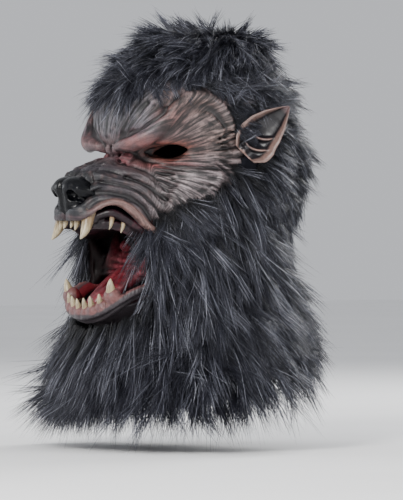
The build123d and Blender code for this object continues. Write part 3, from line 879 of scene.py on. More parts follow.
def jaw_clay(step):
    clay = Clay((0, -172, -316), (70, -44, -228), step)
    x, y, z = (a.reshape(s) for a, s in zip(clay.axes, ((-1, 1, 1), (1, -1, 1), (1, 1, -1))))
    height = RIM(-y, 1)
    below = np.maximum(height - z, 0)
    taper = 1 - 0.012 * below
    oval = ((x / F(58.5))**2.25 + (np.abs(np.minimum(y + 105, 0)) / F(57))**2.25)**(1 / 2.25) + F(1e-6)
    outer = (oval - taper) * F(56)
    base = np.interp(-y, (44, 90, 130, 162), (-262, -268, -290, -308)).astype(F)
    solid = np.maximum(np.maximum(outer, z - height), base - z)
    solid = np.maximum(solid, y + 50)
    clay.field = solid.astype(F)
    bowl = np.maximum((oval - F(0.86)) * F(56), height - F(16) - z)
    clay.carve((slice(None),) * 3, bowl, 3)
    rim = [(float(RIM(f, 2)) * 0.955 * (1 if f > 105 else 1), -f * 0.985, float(RIM(f, 1)) - 1.0, 4.4)
           for f in (55, 75, 95, 112, 126, 138, 147, 154, 158.5, 161, 162)]
    clay.roll(rim, 3)
    gum = [(float(RIM(f, 2)) * 0.83, -f * 0.945, float(RIM(f, 1)) - 4.0, 5)
           for f in (65, 90, 112, 128, 140, 149, 156, 160, 162)]
    clay.roll(gum, 3)
    # Fine folds across the lip, and wrinkles on the chin below it.
    for i in range(26):
        f = 60 + 102 * (i / 25)**0.8
        px, py, pz = float(RIM(f, 2)), -f, float(RIM(f, 1))
        lean = 1.5 * math.sin(i * 2.1)
        clay.stroke([(px * 1.05, py - 3, pz - 10), (px * 0.98, py - 1 + lean * 0.3, pz + 1),
                     (px * 0.84, py * 0.97 + 2, pz + 5)], 1.3, -2.0 - 0.5 * math.sin(i * 3.7))
    for drop, deep in ((9, 1.6), (16, 1.8), (24, 1.6)):
        clay.stroke([(float(RIM(f, 2)) * 1.0 * (1 - 0.012 * drop), -f * (1 - 0.002 * drop),
                      float(RIM(f, 1)) - drop + 1.2 * math.sin(f / 5 + drop)) for f in
                     (70, 90, 110, 126, 138, 148, 156, 161, 162)], 1.8, -deep)
    # Gum swellings round the teeth.
    for _, root, tip, radius, _ in LOWER_TEETH:
        r, t = np.array(root), np.array(tip)
        clay.ball(r + (t - r) * 0.25, (radius + 2.0,) * 3, 2.5)
    return clay


jaw_points, jaw_quads = jaw_clay(1.1).mesh()


def paint_jaw(points, quads):
    x, y, z = np.abs(points[:, 0]), points[:, 1], points[:, 2]
    normals = point_normals(points, quads)
    relief = bulge(points, quads, normals)
    height = RIM(-y, 1)
    oval = ((x / 58.5)**2.25 + (np.abs(np.minimum(y + 105, 0)) / 57)**2.25)**(1 / 2.25)
    colour = np.tile(rgb(56, 50, 54), (len(points), 1))
    mottle = surface_noise(points, 10, 11)[:, None]

    def lay(shade, amount):
        nonlocal colour
        colour = colour * (1 - np.clip(amount, 0, 1)) + shade * np.clip(amount, 0, 1)

    lip = (smoothstep(-0.5, 2.2, z - height) * smoothstep(0.80, 0.88, oval))[:, None]
    lay(rgb(112, 72, 70), lip * (0.85 + 0.3 * mottle))
    outward = points[:, 0] * normals[:, 0] + (y + 105) * normals[:, 1]
    bowl = ((oval < 0.86) & (normals[:, 2] > -0.2) & (outward < 14)).astype(float)[:, None]
    lay(rgb(96, 22, 30), bowl)
    # Painted shade deeper down in the bowl.
    lay(rgb(52, 14, 22), bowl * smoothstep(-9, -16, z - height)[:, None])
    lay(colour * 0.8, np.maximum(mottle, 0) * 0.5)
    # Dark wash and painted shade in the creases, pale drybrush and painted highlight on the ridges.
    lay(rgb(20, 15, 18), np.clip(-relief * 1.5, 0, 1)[:, None] * 0.9)
    lay(np.minimum(colour * 1.35 + 0.01, 0.8), np.clip(relief, 0, 1)[:, None] * 0.5)
    return colour


jaw_shade = latex("jaw_latex", roughness=0.46, coat=0.14)
jaw_layers = flows(jaw_points)
jaw_layers["hairy"] = jaw_layers["hairy"] * 0.15
jaw_mesh = mesh_object("latex_jaw", jaw_points, jaw_quads, jaw_shade,
                       layers={"paint": paint_jaw(jaw_points, jaw_quads), **jaw_layers})
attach(jaw_mesh, "jaw")
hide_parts("jaw_shell", "lower_gum")


def tongue_clay(step):
    clay = Clay((0, -150, -282), (32, -44, -222), step)
    spine = [(-54, -240, 24, 10), (-75, -236, 25, 10), (-95, -238, 25, 9), (-112, -246, 23, 8),
        (-126, -256, 19, 7),
             (-137, -264, 14, 6), (-143, -268, 8, 5)]
    for y, z, wide, thick in curve_points(spine, 3):
        clay.ball((0, y, z), (wide, 9, thick), 5)
    clay.roll([(0, -60, -226, 1.6), (0, -95, -229, 1.8), (0, -126, -249, 1.6),
        (0, -140, -262, 1.0)], 4, carve=True)
    for i in range(7):
        y = -70 - 10 * i
        z = np.interp(-y, (54, 95, 112, 126, 137), (-231, -230, -239, -250, -259))
        clay.stroke([(3, y, z), (12, y + 2, z - 1), (22, y + 6, z - 5)], 2.2, 1.1)
    return clay


tongue_points, tongue_quads = tongue_clay(1.2).mesh()
tongue_shade = flesh("tongue_latex", rgb(58, 10, 19), rgb(106, 28, 38), rgb(150, 74, 80), scale=80,
                     roughness=0.4, coat=0.25)
# Its paint layer is painted shade in the folds and painted highlight on the ridges.
tongue = mesh_object("tongue_body", tongue_points, tongue_quads, tongue_shade,
                     layers={"paint": relief_shading(tongue_points, tongue_quads)})
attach(tongue, "jaw")
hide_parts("tongue")


def throat_clay(step):
    """The latex that joins the two lips at each corner and closes the mouth in front of the wearer's face."""
    clay = Clay((0, -128, -262), (68, -72, -176), step)
    x, y, z = (a.reshape(s) for a, s in zip(clay.axes, ((-1, 1, 1), (1, -1, 1), (1, 1, -1))))
    wide = np.interp(-z, (176, 198, 222, 250, 262), (50, 56, 50, 50, 50)).astype(F)
    back = np.interp(-z, (176, 200, 225, 250, 262), (22, 28, 22, 20, 20)).astype(F)
    reach = ((x / wide)**3.2 + (np.maximum(y + 108, 0) / back)**3.2)**(1 / 3.2) + F(1e-6)
    wall = np.abs((reach - 1) * 24) - 1.8
    clay.field = np.maximum(wall, -113 - y).astype(F) + F(0) * z
    clay.roll([(56, -115, -190, 3), (52, -110, -205, 4.5), (47, -105, -216, 5.5), (44, -101, -228, 5.5),
               (46, -104, -240, 4.5), (50, -111, -252, 3.5)], 5)
    clay.roll([(31, -92, -196, 3.5), (27, -97, -208, 5.5), (27, -101, -220, 6), (34, -101, -231, 5.5)], 4)
    clay.ball((13, -92, -209), (8, 8, 7), 4)
    clay.ball((0, -87, -202), (4, 6, 10), 4)
    for i, drop in enumerate((-219, -224.5, -231, -238)):
        clay.roll([(54, -108, drop + 2, 2.0), (42, -101 - i, drop - 1, 2.8), (26, -98 - 2 * i, drop + 1, 3.2),
                   (10, -93 - 3 * i, drop - 0.5, 3.0), (0, -92 - 3 * i, drop + 0.5, 2.8)], 2.5)
    return clay


throat_points, throat_quads = throat_clay(1.3).mesh()
throat_flesh = flesh("throat_latex", rgb(44, 9, 18), rgb(116, 36, 48), rgb(178, 98, 104), scale=70,
                     roughness=0.6,
                     coat=0.03, specular=0.14)
# Painted shade: darker deeper into the mouth, higher up under the upper lip, on the far side and at the near
# corner, over painted shade and highlight from the folds.
depth = throat_points[:, 1]
lit = smoothstep(-88, -97, depth) * 0.95 + 0.05
low_down = smoothstep(-200, -216, throat_points[:, 2])
lit = lit * (0.30 + 0.50 * low_down)
lit = lit * (1 - 0.97 * smoothstep(-12, -34, throat_points[:, 0]))
lit = lit * (1 - 0.72 * smoothstep(38, 47, throat_points[:, 0]) * smoothstep(-97, -106, depth))
throat_painted_shade = relief_shading(throat_points, throat_quads, 3.2, 1.2) * lit[:, None]
throat = mesh_object("throat_lining", throat_points, throat_quads, throat_flesh,
                     layers={"paint": throat_painted_shade})
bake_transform(throat)


# --- Ears ---------------------------------------------------------------------------------

EAR_ROOT, EAR_TIP = np.array((89, -18, -114.0)), np.array((114, 21, -65.0))
EAR_SIZES = rows([(0, 13, 5), (0.12, 19, 9), (0.3, 22, 12), (0.5, 20, 12), (0.7, 14.5, 9), (0.87, 7.5, 5),
    (0.96, 3.2, 2),
                  (1, 0.8, 0.3)])


def ear_sheet(u, v, back):
    """A point of the ear: u from root to tip, v across it, back 0 for the cup and 1 for its rear."""
    axis = EAR_TIP - EAR_ROOT
    length = np.linalg.norm(axis)
    axis /= length
    out = np.array((0.86, -0.50, 0.05))
    out -= (out @ axis) * axis
    out /= np.linalg.norm(out)
    across = np.cross(out, axis)
    wide, deep = EAR_SIZES(u, 1), EAR_SIZES(u, 2)
    sweep = 0.10 * length * np.sin(np.pi * u) * 0.9
    lobe = np.where(v < 0, 1 + 0.18 * np.exp(-((u - 0.16) / 0.16)**2), 1.0)
    cup = -deep * (1 - np.abs(v)**2.2)
    rim = 5.0 * np.exp(-((np.abs(v) - 0.86) / 0.17)**2)
    first = (6.0 * np.exp(-((u - 0.33 - 0.22 * v**2 + 0.10 * v) / 0.042)**2)
             * smoothstep(0.80, 0.45, np.abs(v)))
    second = (6.5 * np.exp(-((u - 0.14 - 0.26 * v**2 + 0.04 * v) / 0.040)**2)
              * smoothstep(0.85, 0.5, np.abs(v)))
    tragus = 6.0 * np.exp(-((u - 0.05) / 0.07)**2 - ((v - 0.15) / 0.3)**2)
    fold = first + second + tragus
    lift = cup + np.where(back, 0.6 * rim - 3.0, rim + fold)
    lift = np.where(back, lift * 1 + 1.5 * (np.abs(v)**4), lift)
    return (EAR_ROOT + axis * (length * u)[:, None] + across * (wide * lobe * v + sweep * 0.25)[:, None]
            + out * lift[:, None])


def ear_mesh(side):
    nu, nv = 90, 70
    u, v = np.meshgrid(np.linspace(0, 1, nu)**0.95, np.linspace(-1, 1, nv), indexing="ij")
    u, v = u.ravel(), v.ravel()
    cup, rear = ear_sheet(u, v, np.zeros(len(u), bool)), ear_sheet(u, v, np.ones(len(u), bool))
    points = np.vstack([cup, rear])
    index = np.arange(nu * nv).reshape(nu, nv)
    grid = np.stack([index[:-1, :-1], index[:-1, 1:], index[1:, 1:], index[1:, :-1]], -1).reshape(-1, 4)
    edge = np.concatenate([index[:, 0], index[-1, 1:], index[::-1, -1][1:], index[0, ::-1][1:]])
    ring = np.stack([edge[1:], edge[:-1], edge[:-1] + nu * nv, edge[1:] + nu * nv], 1)
    quads = np.concatenate([grid[:, ::-1], grid + nu * nv, ring])
    normals = point_normals(points, quads)
    relief = bulge(points, quads, normals)
    uu, vv = np.tile(u, 2), np.tile(v, 2)
    behind = np.repeat([0, 1], nu * nv)[:, None]
    colour = np.tile(rgb(20, 17, 22), (len(points), 1))
    rim = smoothstep(0.62, 0.74, np.abs(vv))[:, None]
    crest = np.clip(relief * 4.5 - 0.6, 0, 1)[:, None] * smoothstep(0.80, 0.55, uu)[:, None]
    colour = colour * (1 - crest) + rgb(142, 114, 106) * crest
    colour = colour * (1 - rim) + rgb(120, 97, 90) * rim
    tip = smoothstep(0.86, 1.0, uu)[:, None]
    colour = colour * (1 - tip) + rgb(140, 112, 112) * tip
    rear_colour = rgb(118, 110, 114) * (1 + 0.2 * surface_noise(points, 12, 21)[:, None])
    colour = colour * (1 - behind) + rear_colour * behind
    # Painted shade in the folds of the ear.
    dark = np.clip(-relief * 1.6, 0, 1)[:, None]
    colour = colour * (1 - dark) + rgb(12, 10, 14) * dark
    if side < 0:
        points = points * (-1, 1, 1)
        quads = quads[:, ::-1]
    return points, quads, colour


ear_shade = latex("ear_latex", roughness=0.34, coat=0.45)
for side, word in ((1, "left"), (-1, "right")):
    ear_points, ear_quads, ear_colour = ear_mesh(side)
    ear_layers = flows(ear_points)
    ear_layers["hairy"] = ear_layers["hairy"] * 0
    ear = mesh_object(word + "_ear_latex", ear_points, ear_quads, ear_shade,
                      layers={"paint": ear_colour, **ear_layers})
    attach(ear, "hood")
    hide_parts(word + "_ear")


# --- Fur: the cloth it grows from ---------------------------------------------------------

# Height, half width, depth in front and depth behind of the furred cloth, from the crown down.
STATIONS = np.array([
    (9, 1, 1, 1), (8.5, 24, 30, 28), (6.5, 44, 53, 52), (-4, 53, 67, 58), (-16, 60, 81, 63),
    (-30, 67, 96, 69),
    (-43, 75, 110, 76),
    (-53, 79, 119, 80), (-75, 83, 127, 83), (-100, 85, 128, 84), (-118, 86, 122, 84), (-135, 86, 110, 83),
    (-170, 85, 108, 80), (-188, 85, 124, 78), (-205, 84, 136, 76), (-232, 85, 136, 76), (-262, 90, 136, 84),
    (-285, 97, 126, 90), (-305, 105, 120, 92), (-335, 120, 130, 88), (-366, 130, 144, 84),
], float)
_rise = np.linalg.norm(np.diff(STATIONS[:, [0, 2]], axis=0), axis=1)
_reach = np.concatenate([[0], np.cumsum(_rise)])
PELT_LENGTH = _reach[-1]


def pelt(angle, along, out=0.0):
    """A point of the cloth. Angle 0 is the front, along is the distance down from the crown."""
    z, w, front, behind = (np.interp(along, _reach, STATIONS[:, i]) for i in range(4))
    s, c = np.sin(angle), np.cos(angle)
    power = 2 / 2.25
    x = (w + out) * np.sign(s) * np.abs(s)**power
    y = -(np.where(c > 0, front, behind) + out) * np.sign(c) * np.abs(c)**power
    over_pad = smoothstep(70, 46, np.abs(x)) * smoothstep(-86, -107, z) * smoothstep(-184, -153, z)
    y = y + np.where(y > 0, 20 * over_pad, 0)
    return np.stack([x, y, z + out * smoothstep(90, 30, along)], -1)


def pelt_normal(angle, along):
    e = 0.02
    a = pelt(angle + e, along) - pelt(angle - e, along)
    b = pelt(angle, along + 3) - pelt(angle, np.maximum(along - 3, 0))
    n = np.cross(b, a)
    n /= np.linalg.norm(n, axis=-1, keepdims=True) + 1e-9
    centre = np.array((0, -10, -150.0))
    flip = np.sign(((pelt(angle, along) - centre) * n).sum(-1, keepdims=True))
    return n * np.where(flip == 0, 1, flip)


def inside(points, polygon):
    """Whether each (Y, Z) lies in the polygon."""
    y, z = points[:, 0], points[:, 1]
    hit = np.zeros(len(points), bool)
    for (y0, z0), (y1, z1) in zip(polygon, polygon[1:] + polygon[:1]):
        cross = (z0 > z) != (z1 > z)
        hit ^= cross & (y < (y1 - y0) * (z - z0) / (z1 - z0 + 1e-9) + y0)
    return hit


# Where the face is bare latex, seen from the side.
BARE = [
    (-6, -104), (-22, -128), (-30, -145), (-44, -156), (-61, -164), (-74, -169), (-95, -180), (-109, -192),
    (-113, -215), (-113, -240), (-108, -262), (-100, -290), (-300, -290), (-300, -48), (-124, -48),
    (-95, -51),
    (-73, -46), (-50, -50), (-36, -64), (-22, -88),
]


def furred(points):
    side = points[:, 1:3]
    chin = (points[:, 2] < -262) & (points[:, 2] > -291) & (points[:, 1] < -40) & (np.abs(points[:, 0]) < 62)
    y = points[:, 1]
    hem = points[:, 2] < -316 - 20 * smoothstep(80, 10, y) - 34 * smoothstep(-10, -80, y)
    return ~inside(side, BARE) & ~chin & ~hem


def by_ear(points):
    """Near the ear, where longer hair would grow through it."""
    root, tip = np.array((-14, -114.0)), np.array((22, -74.0))
    t = np.clip(((points[:, 1:3] - root) @ (tip - root)) / ((tip - root) @ (tip - root)), 0, 1)
    away = np.linalg.norm(points[:, 1:3] - root - t[:, None] * (tip - root), axis=1)
    return (np.abs(points[:, 0]) > 60) & (away < 20 - 8 * t)


def cloth_piece(name, low, high, step=3.5):
    """A ring of the dark knitted backing, with a wall thickness, between two distances down it."""
    na, ns = int(2 * math.pi * 95 / step) + 2, int((high - low) / step) + 2
    a, s = np.meshgrid(np.linspace(-math.pi, math.pi, na), np.linspace(low, high, ns), indexing="ij")
    a, s = a.ravel(), s.ravel()
    outer, inner = pelt(a, s, -1.0), pelt(a, s, -3.0)
    index = np.arange(na * ns).reshape(na, ns)
    quads = np.stack([index[:-1, :-1], index[:-1, 1:], index[1:, 1:], index[1:, :-1]], -1).reshape(-1, 4)
    quads = quads[furred(outer[quads].mean(1))]
    if not len(quads):
        return None
    edges = np.concatenate([quads[:, [i, (i + 1) % 4]] for i in range(4)])
    key = np.sort(edges, 1)
    _, where, many = np.unique(key[:, 0] * (na * ns) + key[:, 1], return_index=True, return_counts=True)
    rim = edges[where[many == 1]]
    total = na * ns
    walls = np.stack([rim[:, 1], rim[:, 0], rim[:, 0] + total, rim[:, 1] + total], 1)
    faces = np.concatenate([quads, quads[:, ::-1] + total, walls])
    points, faces = keep_faces(np.vstack([outer, inner]), faces, np.ones(len(faces), bool))
    return mesh_object(name, points, faces, knit)


knit = Shader("fur_backing", roughness=0.9, specular=0.15)
loops = knit.cells(900)
knit.colour(knit.mix(1.0, knit.ramp(knit.noise(60), (0.3, rgb(9, 10, 16)), (0.7, rgb(22, 23, 31))),
                     knit.ramp(loops, (0.1, 1.3), (0.6, 0.6)), "MULTIPLY"))
knit.bump(loops, 0.4, 0.0006)

# --- Fur: the strands ---------------------------------------------------------------------

def unit(v):
    return v / (np.linalg.norm(v, axis=-1, keepdims=True) + 1e-9)


def combed(p, n):
    """Which way the fur lies at each point."""
    x, y, z = p[:, 0], p[:, 1], p[:, 2]
    zero = np.zeros(len(p))
    side = np.sign(x) * smoothstep(0, 30, np.abs(x))
    down = np.stack([zero, 0.28 * np.ones(len(p)), -np.ones(len(p))], 1)
    crown = np.stack([x * 0.9, y - 28, zero - 8], 1)
    crown = unit(crown)
    beard = unit(np.stack([side * 9, 8 + (y + 50) * smoothstep(-228, -285, z), -62 + 0.4 * (z + 200)], 1))
    nape = unit(np.stack([x * 0.006, 0.35 + 0.004 * y, -1 + zero], 1))
    skirt = unit(np.stack([x * 0.010, (y + 30) * 0.009, -1 + zero], 1))
    temple = unit(np.stack([zero, 1 + zero, -0.30 + zero], 1))
    flow = unit(down)
    flow = flow + (crown - flow) * smoothstep(-48, -8, z)[:, None]
    flow = flow + (temple - flow) * (smoothstep(-150, -110, z) * smoothstep(-30, -55, z)
                                     * smoothstep(-75, -55, y)
                                     * smoothstep(70, 30, y))[:, None]
    flow = flow + (beard - flow) * (smoothstep(-150, -185, z) * smoothstep(25, -15, y))[:, None]
    flow = flow + (nape - flow) * (smoothstep(-200, -260, z) * smoothstep(10, 50, y))[:, None]
    flow = flow + (skirt - flow) * smoothstep(-300, -335, z)[:, None]
    sway = surface_noise(p, 62, 31)[:, None] * 0.34 + surface_noise(p, 30, 32)[:, None] * 0.20
    flow = flow + np.cross(n, flow) * sway
    return unit(flow - (flow * n).sum(1, keepdims=True) * n)


def hair_length(p):
    x, y, z = p[:, 0], p[:, 1], p[:, 2]
    length = 56 - 22 * smoothstep(-10, 40, y) * smoothstep(-250, -215, z)
    length = length * (1 - 0.45 * smoothstep(-72, -50, y) * smoothstep(-8, -22, y) * smoothstep(-45, -60, z)
                       * smoothstep(-118, -100, z))
    length = np.where(z > -36, 38 + 6 * smoothstep(-10, -60, y), length)
    length = length * (1 - 0.45 * smoothstep(-12, -40, z) * smoothstep(-75, -60, z) * smoothstep(-20, -60, y)
                       * smoothstep(14, 34, np.abs(x)))
    length = length * (1 - 0.25 * smoothstep(-90, -120, y) * smoothstep(-180, -200, z))
    length = length + 26 * smoothstep(-150, -210, z) * smoothstep(30, -20, y)
    length = length + 14 * smoothstep(-240, -320, z)
    length = length * (1 - 0.30 * smoothstep(-10, 45, y) * smoothstep(-240, -290, z))
    length = length * (1 - 0.42 * smoothstep(-25, -60, y) * smoothstep(-150, -170, z)
                       * smoothstep(-185, -170, z))
    return length


KNOTS = 6
HAIR_BOTTOM = float(cad_low[2]) / MM - 2


def grow(root, normal, flow, length, lift, sag, random, keep_out=True):
    """Paths of KNOTS points, bending down under their own weight and kept outside the cloth."""
    step = (length / (KNOTS - 1))[:, None]
    heading = unit(flow + normal * lift[:, None])
    path = [root]
    for k in range(1, KNOTS):
        heading = unit(heading + np.array((0, 0, -1.0)) * sag[:, None] + flow * 0.10
                       + random.normal(size=root.shape) * 0.05)
        place = path[-1] + heading * step
        if keep_out:
            z = place[:, 2]
            w, front, behind = (np.interp(-z, -STATIONS[:, 0], STATIONS[:, i]) for i in (1, 2, 3))
            d = np.where(place[:, 1] < 0, front, behind)
            r = ((np.abs(place[:, 0]) / w)**2.25 + (np.abs(place[:, 1]) / d)**2.25)**(1 / 2.25)
            least = 1.012 + 0.010 * k
            push = np.where((r < least) & (z < 8), least / np.maximum(r, 0.3), 1)[:, None]
            middle = np.stack([0 * z, 0 * z, z], 1)
            place = middle + (place - middle) * np.clip(push, 1, 1.25)
        path.append(place)
    return np.stack(path, 1)


def tufted(clump_paths, clump_lengths, per, jitter, random, frizz=0.05):
    """Strands that follow their clump, spread at the root and drawn together towards the tip."""
    count = len(clump_paths) * per
    owner = np.repeat(np.arange(len(clump_paths)), per)
    reach = random.uniform(0.62, 1.08, count)
    t = np.linspace(0, 1, KNOTS)[None, :] * reach[:, None] * (KNOTS - 1)
    low = np.clip(t.astype(int), 0, KNOTS - 2)
    share = (t - low)[..., None]
    a, b = clump_paths[owner[:, None], low], clump_paths[owner[:, None], low + 1]
    path = a + (b - a) * share
    first = unit(clump_paths[:, 1] - clump_paths[:, 0])[owner]
    spread = random.normal(size=(count, 3)) * jitter
    spread -= (spread * first).sum(1, keepdims=True) * first
    fan = random.normal(size=(count, 3)) * frizz * clump_lengths[owner][:, None]
    wild = random.random(count) < 0.10
    fan[wild] *= 2.3
    k = np.linspace(0, 1, KNOTS)[None, :, None]
    turns = random.uniform(2, 6, count)[:, None, None]
    curl = np.sin(k * turns + random.uniform(0, 6.3, count)[:, None, None])
    bend = unit(random.normal(size=(count, 3)))[:, None, :] * 1.6
    path = path + spread[:, None] * (1 - 0.72 * k**0.8) + fan[:, None] * k**1.4 + curl * bend * k
    return path, owner


def within(path, random):
    """Shortens each strand that would leave the part's box by more than a small margin."""
    low, high = np.array(cad_low) / MM, np.array(cad_high) / MM
    spare = 0.03 * (high - low) + 10 - random.uniform(1.5, 20, (len(path), 1, 1))
    root = path[:, :1]
    away = path - root
    room = np.where(away > 0, high + spare - root, root - low + spare)
    share = np.clip(room / (np.abs(away) + 1e-6), 0.12, 1).min((1, 2), keepdims=True)
    return root + away * share


def strand_mesh(path, radius, tone):
    """Three-sided tapering strands from paths: points, quads, tip triangles, tones and heights."""
    count = len(path)
    along = np.gradient(path, axis=1)
    along = unit(along)
    up = np.tile(np.array((0.3, 0.2, 1.0)), (count, KNOTS, 1))
    u = unit(np.cross(along, up))
    v = np.cross(along, u)
    rings = []
    taper = np.array([0.85, 1.0, 0.95, 0.78, 0.5])
    for k in range(KNOTS - 1):
        for side in range(3):
            angle = 2.0944 * side
            rings.append(path[:, k] + (radius * taper[k])[:, None] * (math.cos(angle) * u[:, k]
                                                                      + math.sin(angle) * v[:, k]))
    rings.append(path[:, -1])
    per = len(rings)
    points = np.stack(rings, 1).reshape(-1, 3)
    quads, tips = [], []
    for k in range(KNOTS - 2):
        for side in range(3):
            a, b = 3 * k + side, 3 * k + (side + 1) % 3
            quads.append((a, b, b + 3, a + 3))
    last = 3 * (KNOTS - 2)
    for side in range(3):
        tips.append((last + side, last + (side + 1) % 3, per - 1))
    offset = (np.arange(count) * per)[:, None, None]
    quads = (np.array(quads)[None] + offset).reshape(-1, 4)
    tips = (np.array(tips)[None] + offset).reshape(-1, 3)
    height = np.tile(np.append(np.repeat(np.linspace(0, 0.85, KNOTS - 1), 3), 1.0), count)
    return points, quads, tips, np.repeat(tone, per), height


hair = Shader("charcoal_fur", roughness=0.42, specular=0.38, coat=0.0)
tone_in, height_in = hair.painted("tone", "Fac"), hair.painted("height", "Fac")
strand_tone = hair.ramp(tone_in, (0.0, rgb(12, 13, 20)), (0.35, rgb(36, 37, 46)), (0.6, rgb(66, 67, 77)),
                        (0.82, rgb(112, 114, 125)), (1.0, rgb(170, 172, 183)))
# Painted shade: each strand near black at the root, deep in the pile, and lighter towards its tip.
root_shade_ramp = hair.ramp(height_in, (0.0, 0.08), (0.25, 0.42), (0.55, 0.95), (1.0, 1.35))
hair.colour(hair.mix(1.0, strand_tone, root_shade_ramp, "MULTIPLY"))


STRANDS_IN_A_PIECE = 8800


def strands(name, paths, clump, body, node, random, thick):
    """Fur pieces of at most so many strands each, on one body."""
    clump_tone = random.normal(size=clump.max() + 1) * 0.13
    tone = 0.40 + clump_tone[clump] + random.normal(size=len(paths)) * 0.13
    light = random.random(len(paths))
    tone = np.where(light < 0.16, tone + 0.26, tone)
    tone = np.where(light < 0.03, tone + 0.22, tone)
    radius = thick * random.uniform(0.7, 1.3, len(paths))
    for part, first in enumerate(range(0, len(paths), STRANDS_IN_A_PIECE)):
        rows_used = slice(first, first + STRANDS_IN_A_PIECE)
        points, quads, tips, tones, heights = strand_mesh(
            paths[rows_used], radius[rows_used], np.clip(tone[rows_used], 0, 1))
        piece = mesh_object(f"{name}_{part + 1}", points, [quads, tips], hair,
                            layers={"tone": tones, "height": heights})
        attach(piece, body)
        if part == 0:
            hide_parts(node)


def scatter(count, low, high, random):
    """Roots spread evenly over the furred cloth between two distances down it."""
    a = random.uniform(-math.pi, math.pi, count * 4)
    s = random.uniform(low, high, count * 4)
    w = np.interp(s, _reach, STATIONS[:, 1]) + np.interp(s, _reach, STATIONS[:, 2])
    keep = random.random(len(a)) * 280 < w
    a, s = a[keep], s[keep]
    p = pelt(a, s, -1.5)
    over = smoothstep(-192, -182, p[:, 2])[:, None] * (0, 6.0, -4.5)
    keep = furred(p + over) & ~by_ear(p)
    return a[keep][:count], s[keep][:count], p[keep][:count]


# Where hair is glued on the latex itself, seen from the side: under the cheek, and thinly over the temple.
CHEEK = [(-50, -158), (-60, -156), (-76, -161), (-95, -168), (-108, -178), (-113, -190), (-108, -193),
    (-95, -183),
         (-74, -172), (-60, -167)]
TEMPLE = [(-12, -70), (-30, -58), (-42, -56), (-40, -70), (-30, -84), (-22, -98), (-12, -104)]


def on_skin(polygon, count, random):
    """Roots on the outside of the face within a polygon."""
    out = (skin_normals[:, 0] * skin_points[:, 0] > 0) & (np.abs(skin_points[:, 0]) > 42)
    found = np.where(out & inside(skin_points[:, 1:3], polygon))[0]
    found = random.choice(found, min(count, len(found)), replace=False)
    return skin_points[found] - skin_normals[found] * 1.5, skin_normals[found]


random = np.random.default_rng(58)
SHARE = 1.0
HOOD_TUFTS, HOOD_STRANDS = 4800, 23
JAW_TUFTS, JAW_STRANDS = 620, 26
STRAND_RADIUS = 0.27 if SHARE == 1 else 0.60
angle, along, root = scatter(HOOD_TUFTS, 0, PELT_LENGTH, random)
normal = pelt_normal(angle, along)
for polygon, count in ((CHEEK, 420), (TEMPLE, 90)):
    more, facing = on_skin(polygon, count, random)
    root, normal = np.vstack([root, more]), np.vstack([normal, facing])
glued = np.arange(len(root)) >= len(angle)
flow = combed(root, normal)
x, y, z = root.T
length = hair_length(root) * random.uniform(0.75, 1.2, len(root))
length = np.where(glued, np.where(z < -140, random.uniform(34, 52, len(root)), 24), length)
lift = (0.30 - 0.17 * smoothstep(10, 50, y) * smoothstep(-240, -200, z)
        + 0.14 * random.normal(size=len(root)) + 0.10 * smoothstep(-45, -5, z)
        + 0.25 * smoothstep(-230, -300, z) * smoothstep(0, 60, y))
sag = 0.05 + 0.10 * smoothstep(-60, -20, z) * smoothstep(-60, -100, y) + 0 * z
turned = unit(flow + random.normal(size=flow.shape) * 0.30)
lift = np.where(glued, 0.16 + 0.3 * np.abs(lift - 0.3), lift)
paths = grow(root, normal, turned, length, np.clip(lift, 0.08, 1.6), sag, random)
drop = paths[:, :, 2].min(1)
bottom = HAIR_BOTTOM + random.uniform(-14, 26, len(root))
short = np.where(drop < bottom, np.clip((root[:, 2] - bottom) / (root[:, 2] - drop + 1e-6), 0.25, 1), 1)
paths = root[:, None] + (paths - root[:, None]) * short[:, None, None]

where = {
    "crown_fur": z > -46,
    "left_cheek_fur": (z <= -46) & (z > -262) & (y < 5) & (x > 0),
    "right_cheek_fur": (z <= -46) & (z > -262) & (y < 5) & (x <= 0),
    "left_back_fur": (z <= -46) & (z > -300) & (y >= 5) & (x > 0),
    "right_back_fur": (z <= -46) & (z > -300) & (y >= 5) & (x <= 0),
}
rest = np.ones(len(z), bool)
for mask in where.values():
    rest &= ~mask
where["front_bib_fur"] = rest & (y < -35)
where["left_shoulder_fur"] = rest & (y >= -35) & (x > 0)
where["right_shoulder_fur"] = rest & (y >= -35) & (x <= 0)
for node, mask in where.items():
    per = max(int(HOOD_STRANDS * SHARE), 3)
    got, owner = tufted(paths[mask], length[mask], per, 3.0, random)
    strands(node + "_hair", within(got, random), owner, "hood", node, random, STRAND_RADIUS)


# Beard on the moving jaw: rooted under the chin and along the jowls.
def jaw_roots(count, random):
    b = random.uniform(-2.35, 2.35, count)
    k = random.uniform(0, 1, count)
    rim = np.interp(np.abs(b), (0, 0.7, 1.3, 1.8, 2.35), (-297, -289, -272, -258, -250))
    shrink = 1 - 0.55 * k
    p = np.stack([58 * shrink * np.sin(b), -104 - 50 * shrink * np.cos(b), rim - 24 * k**0.8], 1)
    n = unit(np.stack([np.sin(b), -np.cos(b), -0.35 - 1.2 * k], 1))
    return p, n, b


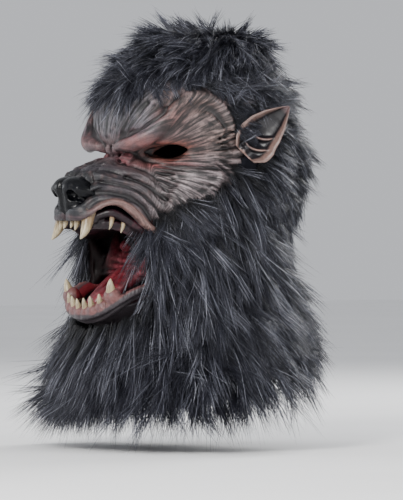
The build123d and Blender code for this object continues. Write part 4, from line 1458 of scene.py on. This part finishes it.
jaw_root, jaw_normal, bend_angle = jaw_roots(JAW_TUFTS, random)
beard = unit(np.stack([jaw_root[:, 0] * 0.30, jaw_root[:, 1] + 62, jaw_root[:, 2] + 185], 1))
beard = unit(beard + (0, 0, -0.35) + random.normal(size=beard.shape) * 0.16)
beard_length = random.uniform(62, 98, len(jaw_root))
beard_paths = grow(jaw_root, jaw_normal, beard, beard_length, np.full(len(jaw_root), 0.22),
                   np.full(len(jaw_root), 0.08), random, keep_out=False)
for node, mask in (
    ("chin_fur", np.abs(bend_angle) < 0.8),
    ("left_jowl_fur", bend_angle >= 0.8),
    ("right_jowl_fur", bend_angle <= -0.8),
):
    per = max(int(JAW_STRANDS * SHARE), 3)
    got, owner = tufted(beard_paths[mask], beard_length[mask], per, 3.2, random)
    strands(node + "_hair", within(got, random), owner, "jaw", node, random, STRAND_RADIUS)

FREE = float(np.interp(300, -STATIONS[:, 0], _reach))
backing = cloth_piece("fur_cloth", 0, FREE)
skirt = cloth_piece("shoulder_cloth", FREE, PELT_LENGTH)
for piece in (backing, skirt):
    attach(piece, "hood")


# --- Padding inside ------------------------------------------------------------------------

foam = Shader("foam_padding", roughness=0.95, specular=0.1)
pores = foam.cells(700)
foam.colour(foam.mix(1.0, foam.ramp(foam.noise(40), (0.3, rgb(50, 50, 54)), (0.7, rgb(78, 78, 82))),
                     foam.ramp(pores, (0.1, 0.5), (0.5, 1.15)), "MULTIPLY"))
foam.bump(pores, 0.8, 0.0012)
for name in ("crown_pad", "brow_pad", "nape_pad", "chin_cup"):
    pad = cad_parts[name]
    pad.data.materials.clear()
    pad.data.materials.append(foam.material)
    soften = pad.modifiers.new("soft_edges", "BEVEL")
    soften.width, soften.segments = 0.002, 3


# --- Stage -------------------------------------------------------------------------------

floor_mesh = bpy.data.meshes.new("floor")
floor_mesh.from_pydata([(-6, -6, 0), (6, -6, 0), (6, 6, 0), (-6, 6, 0)], [], [(0, 1, 2, 3)])
floor = bpy.data.objects.new("floor", floor_mesh)
bpy.context.collection.objects.link(floor)
floor.location.z = -0.42
ground = Shader("studio_floor", roughness=0.8, specular=0.1)
ground.colour(ground.ramp(ground.noise(3.0, detail=2), (0.3, 0.90), (0.7, 0.94)))
floor_mesh.materials.append(ground.material)
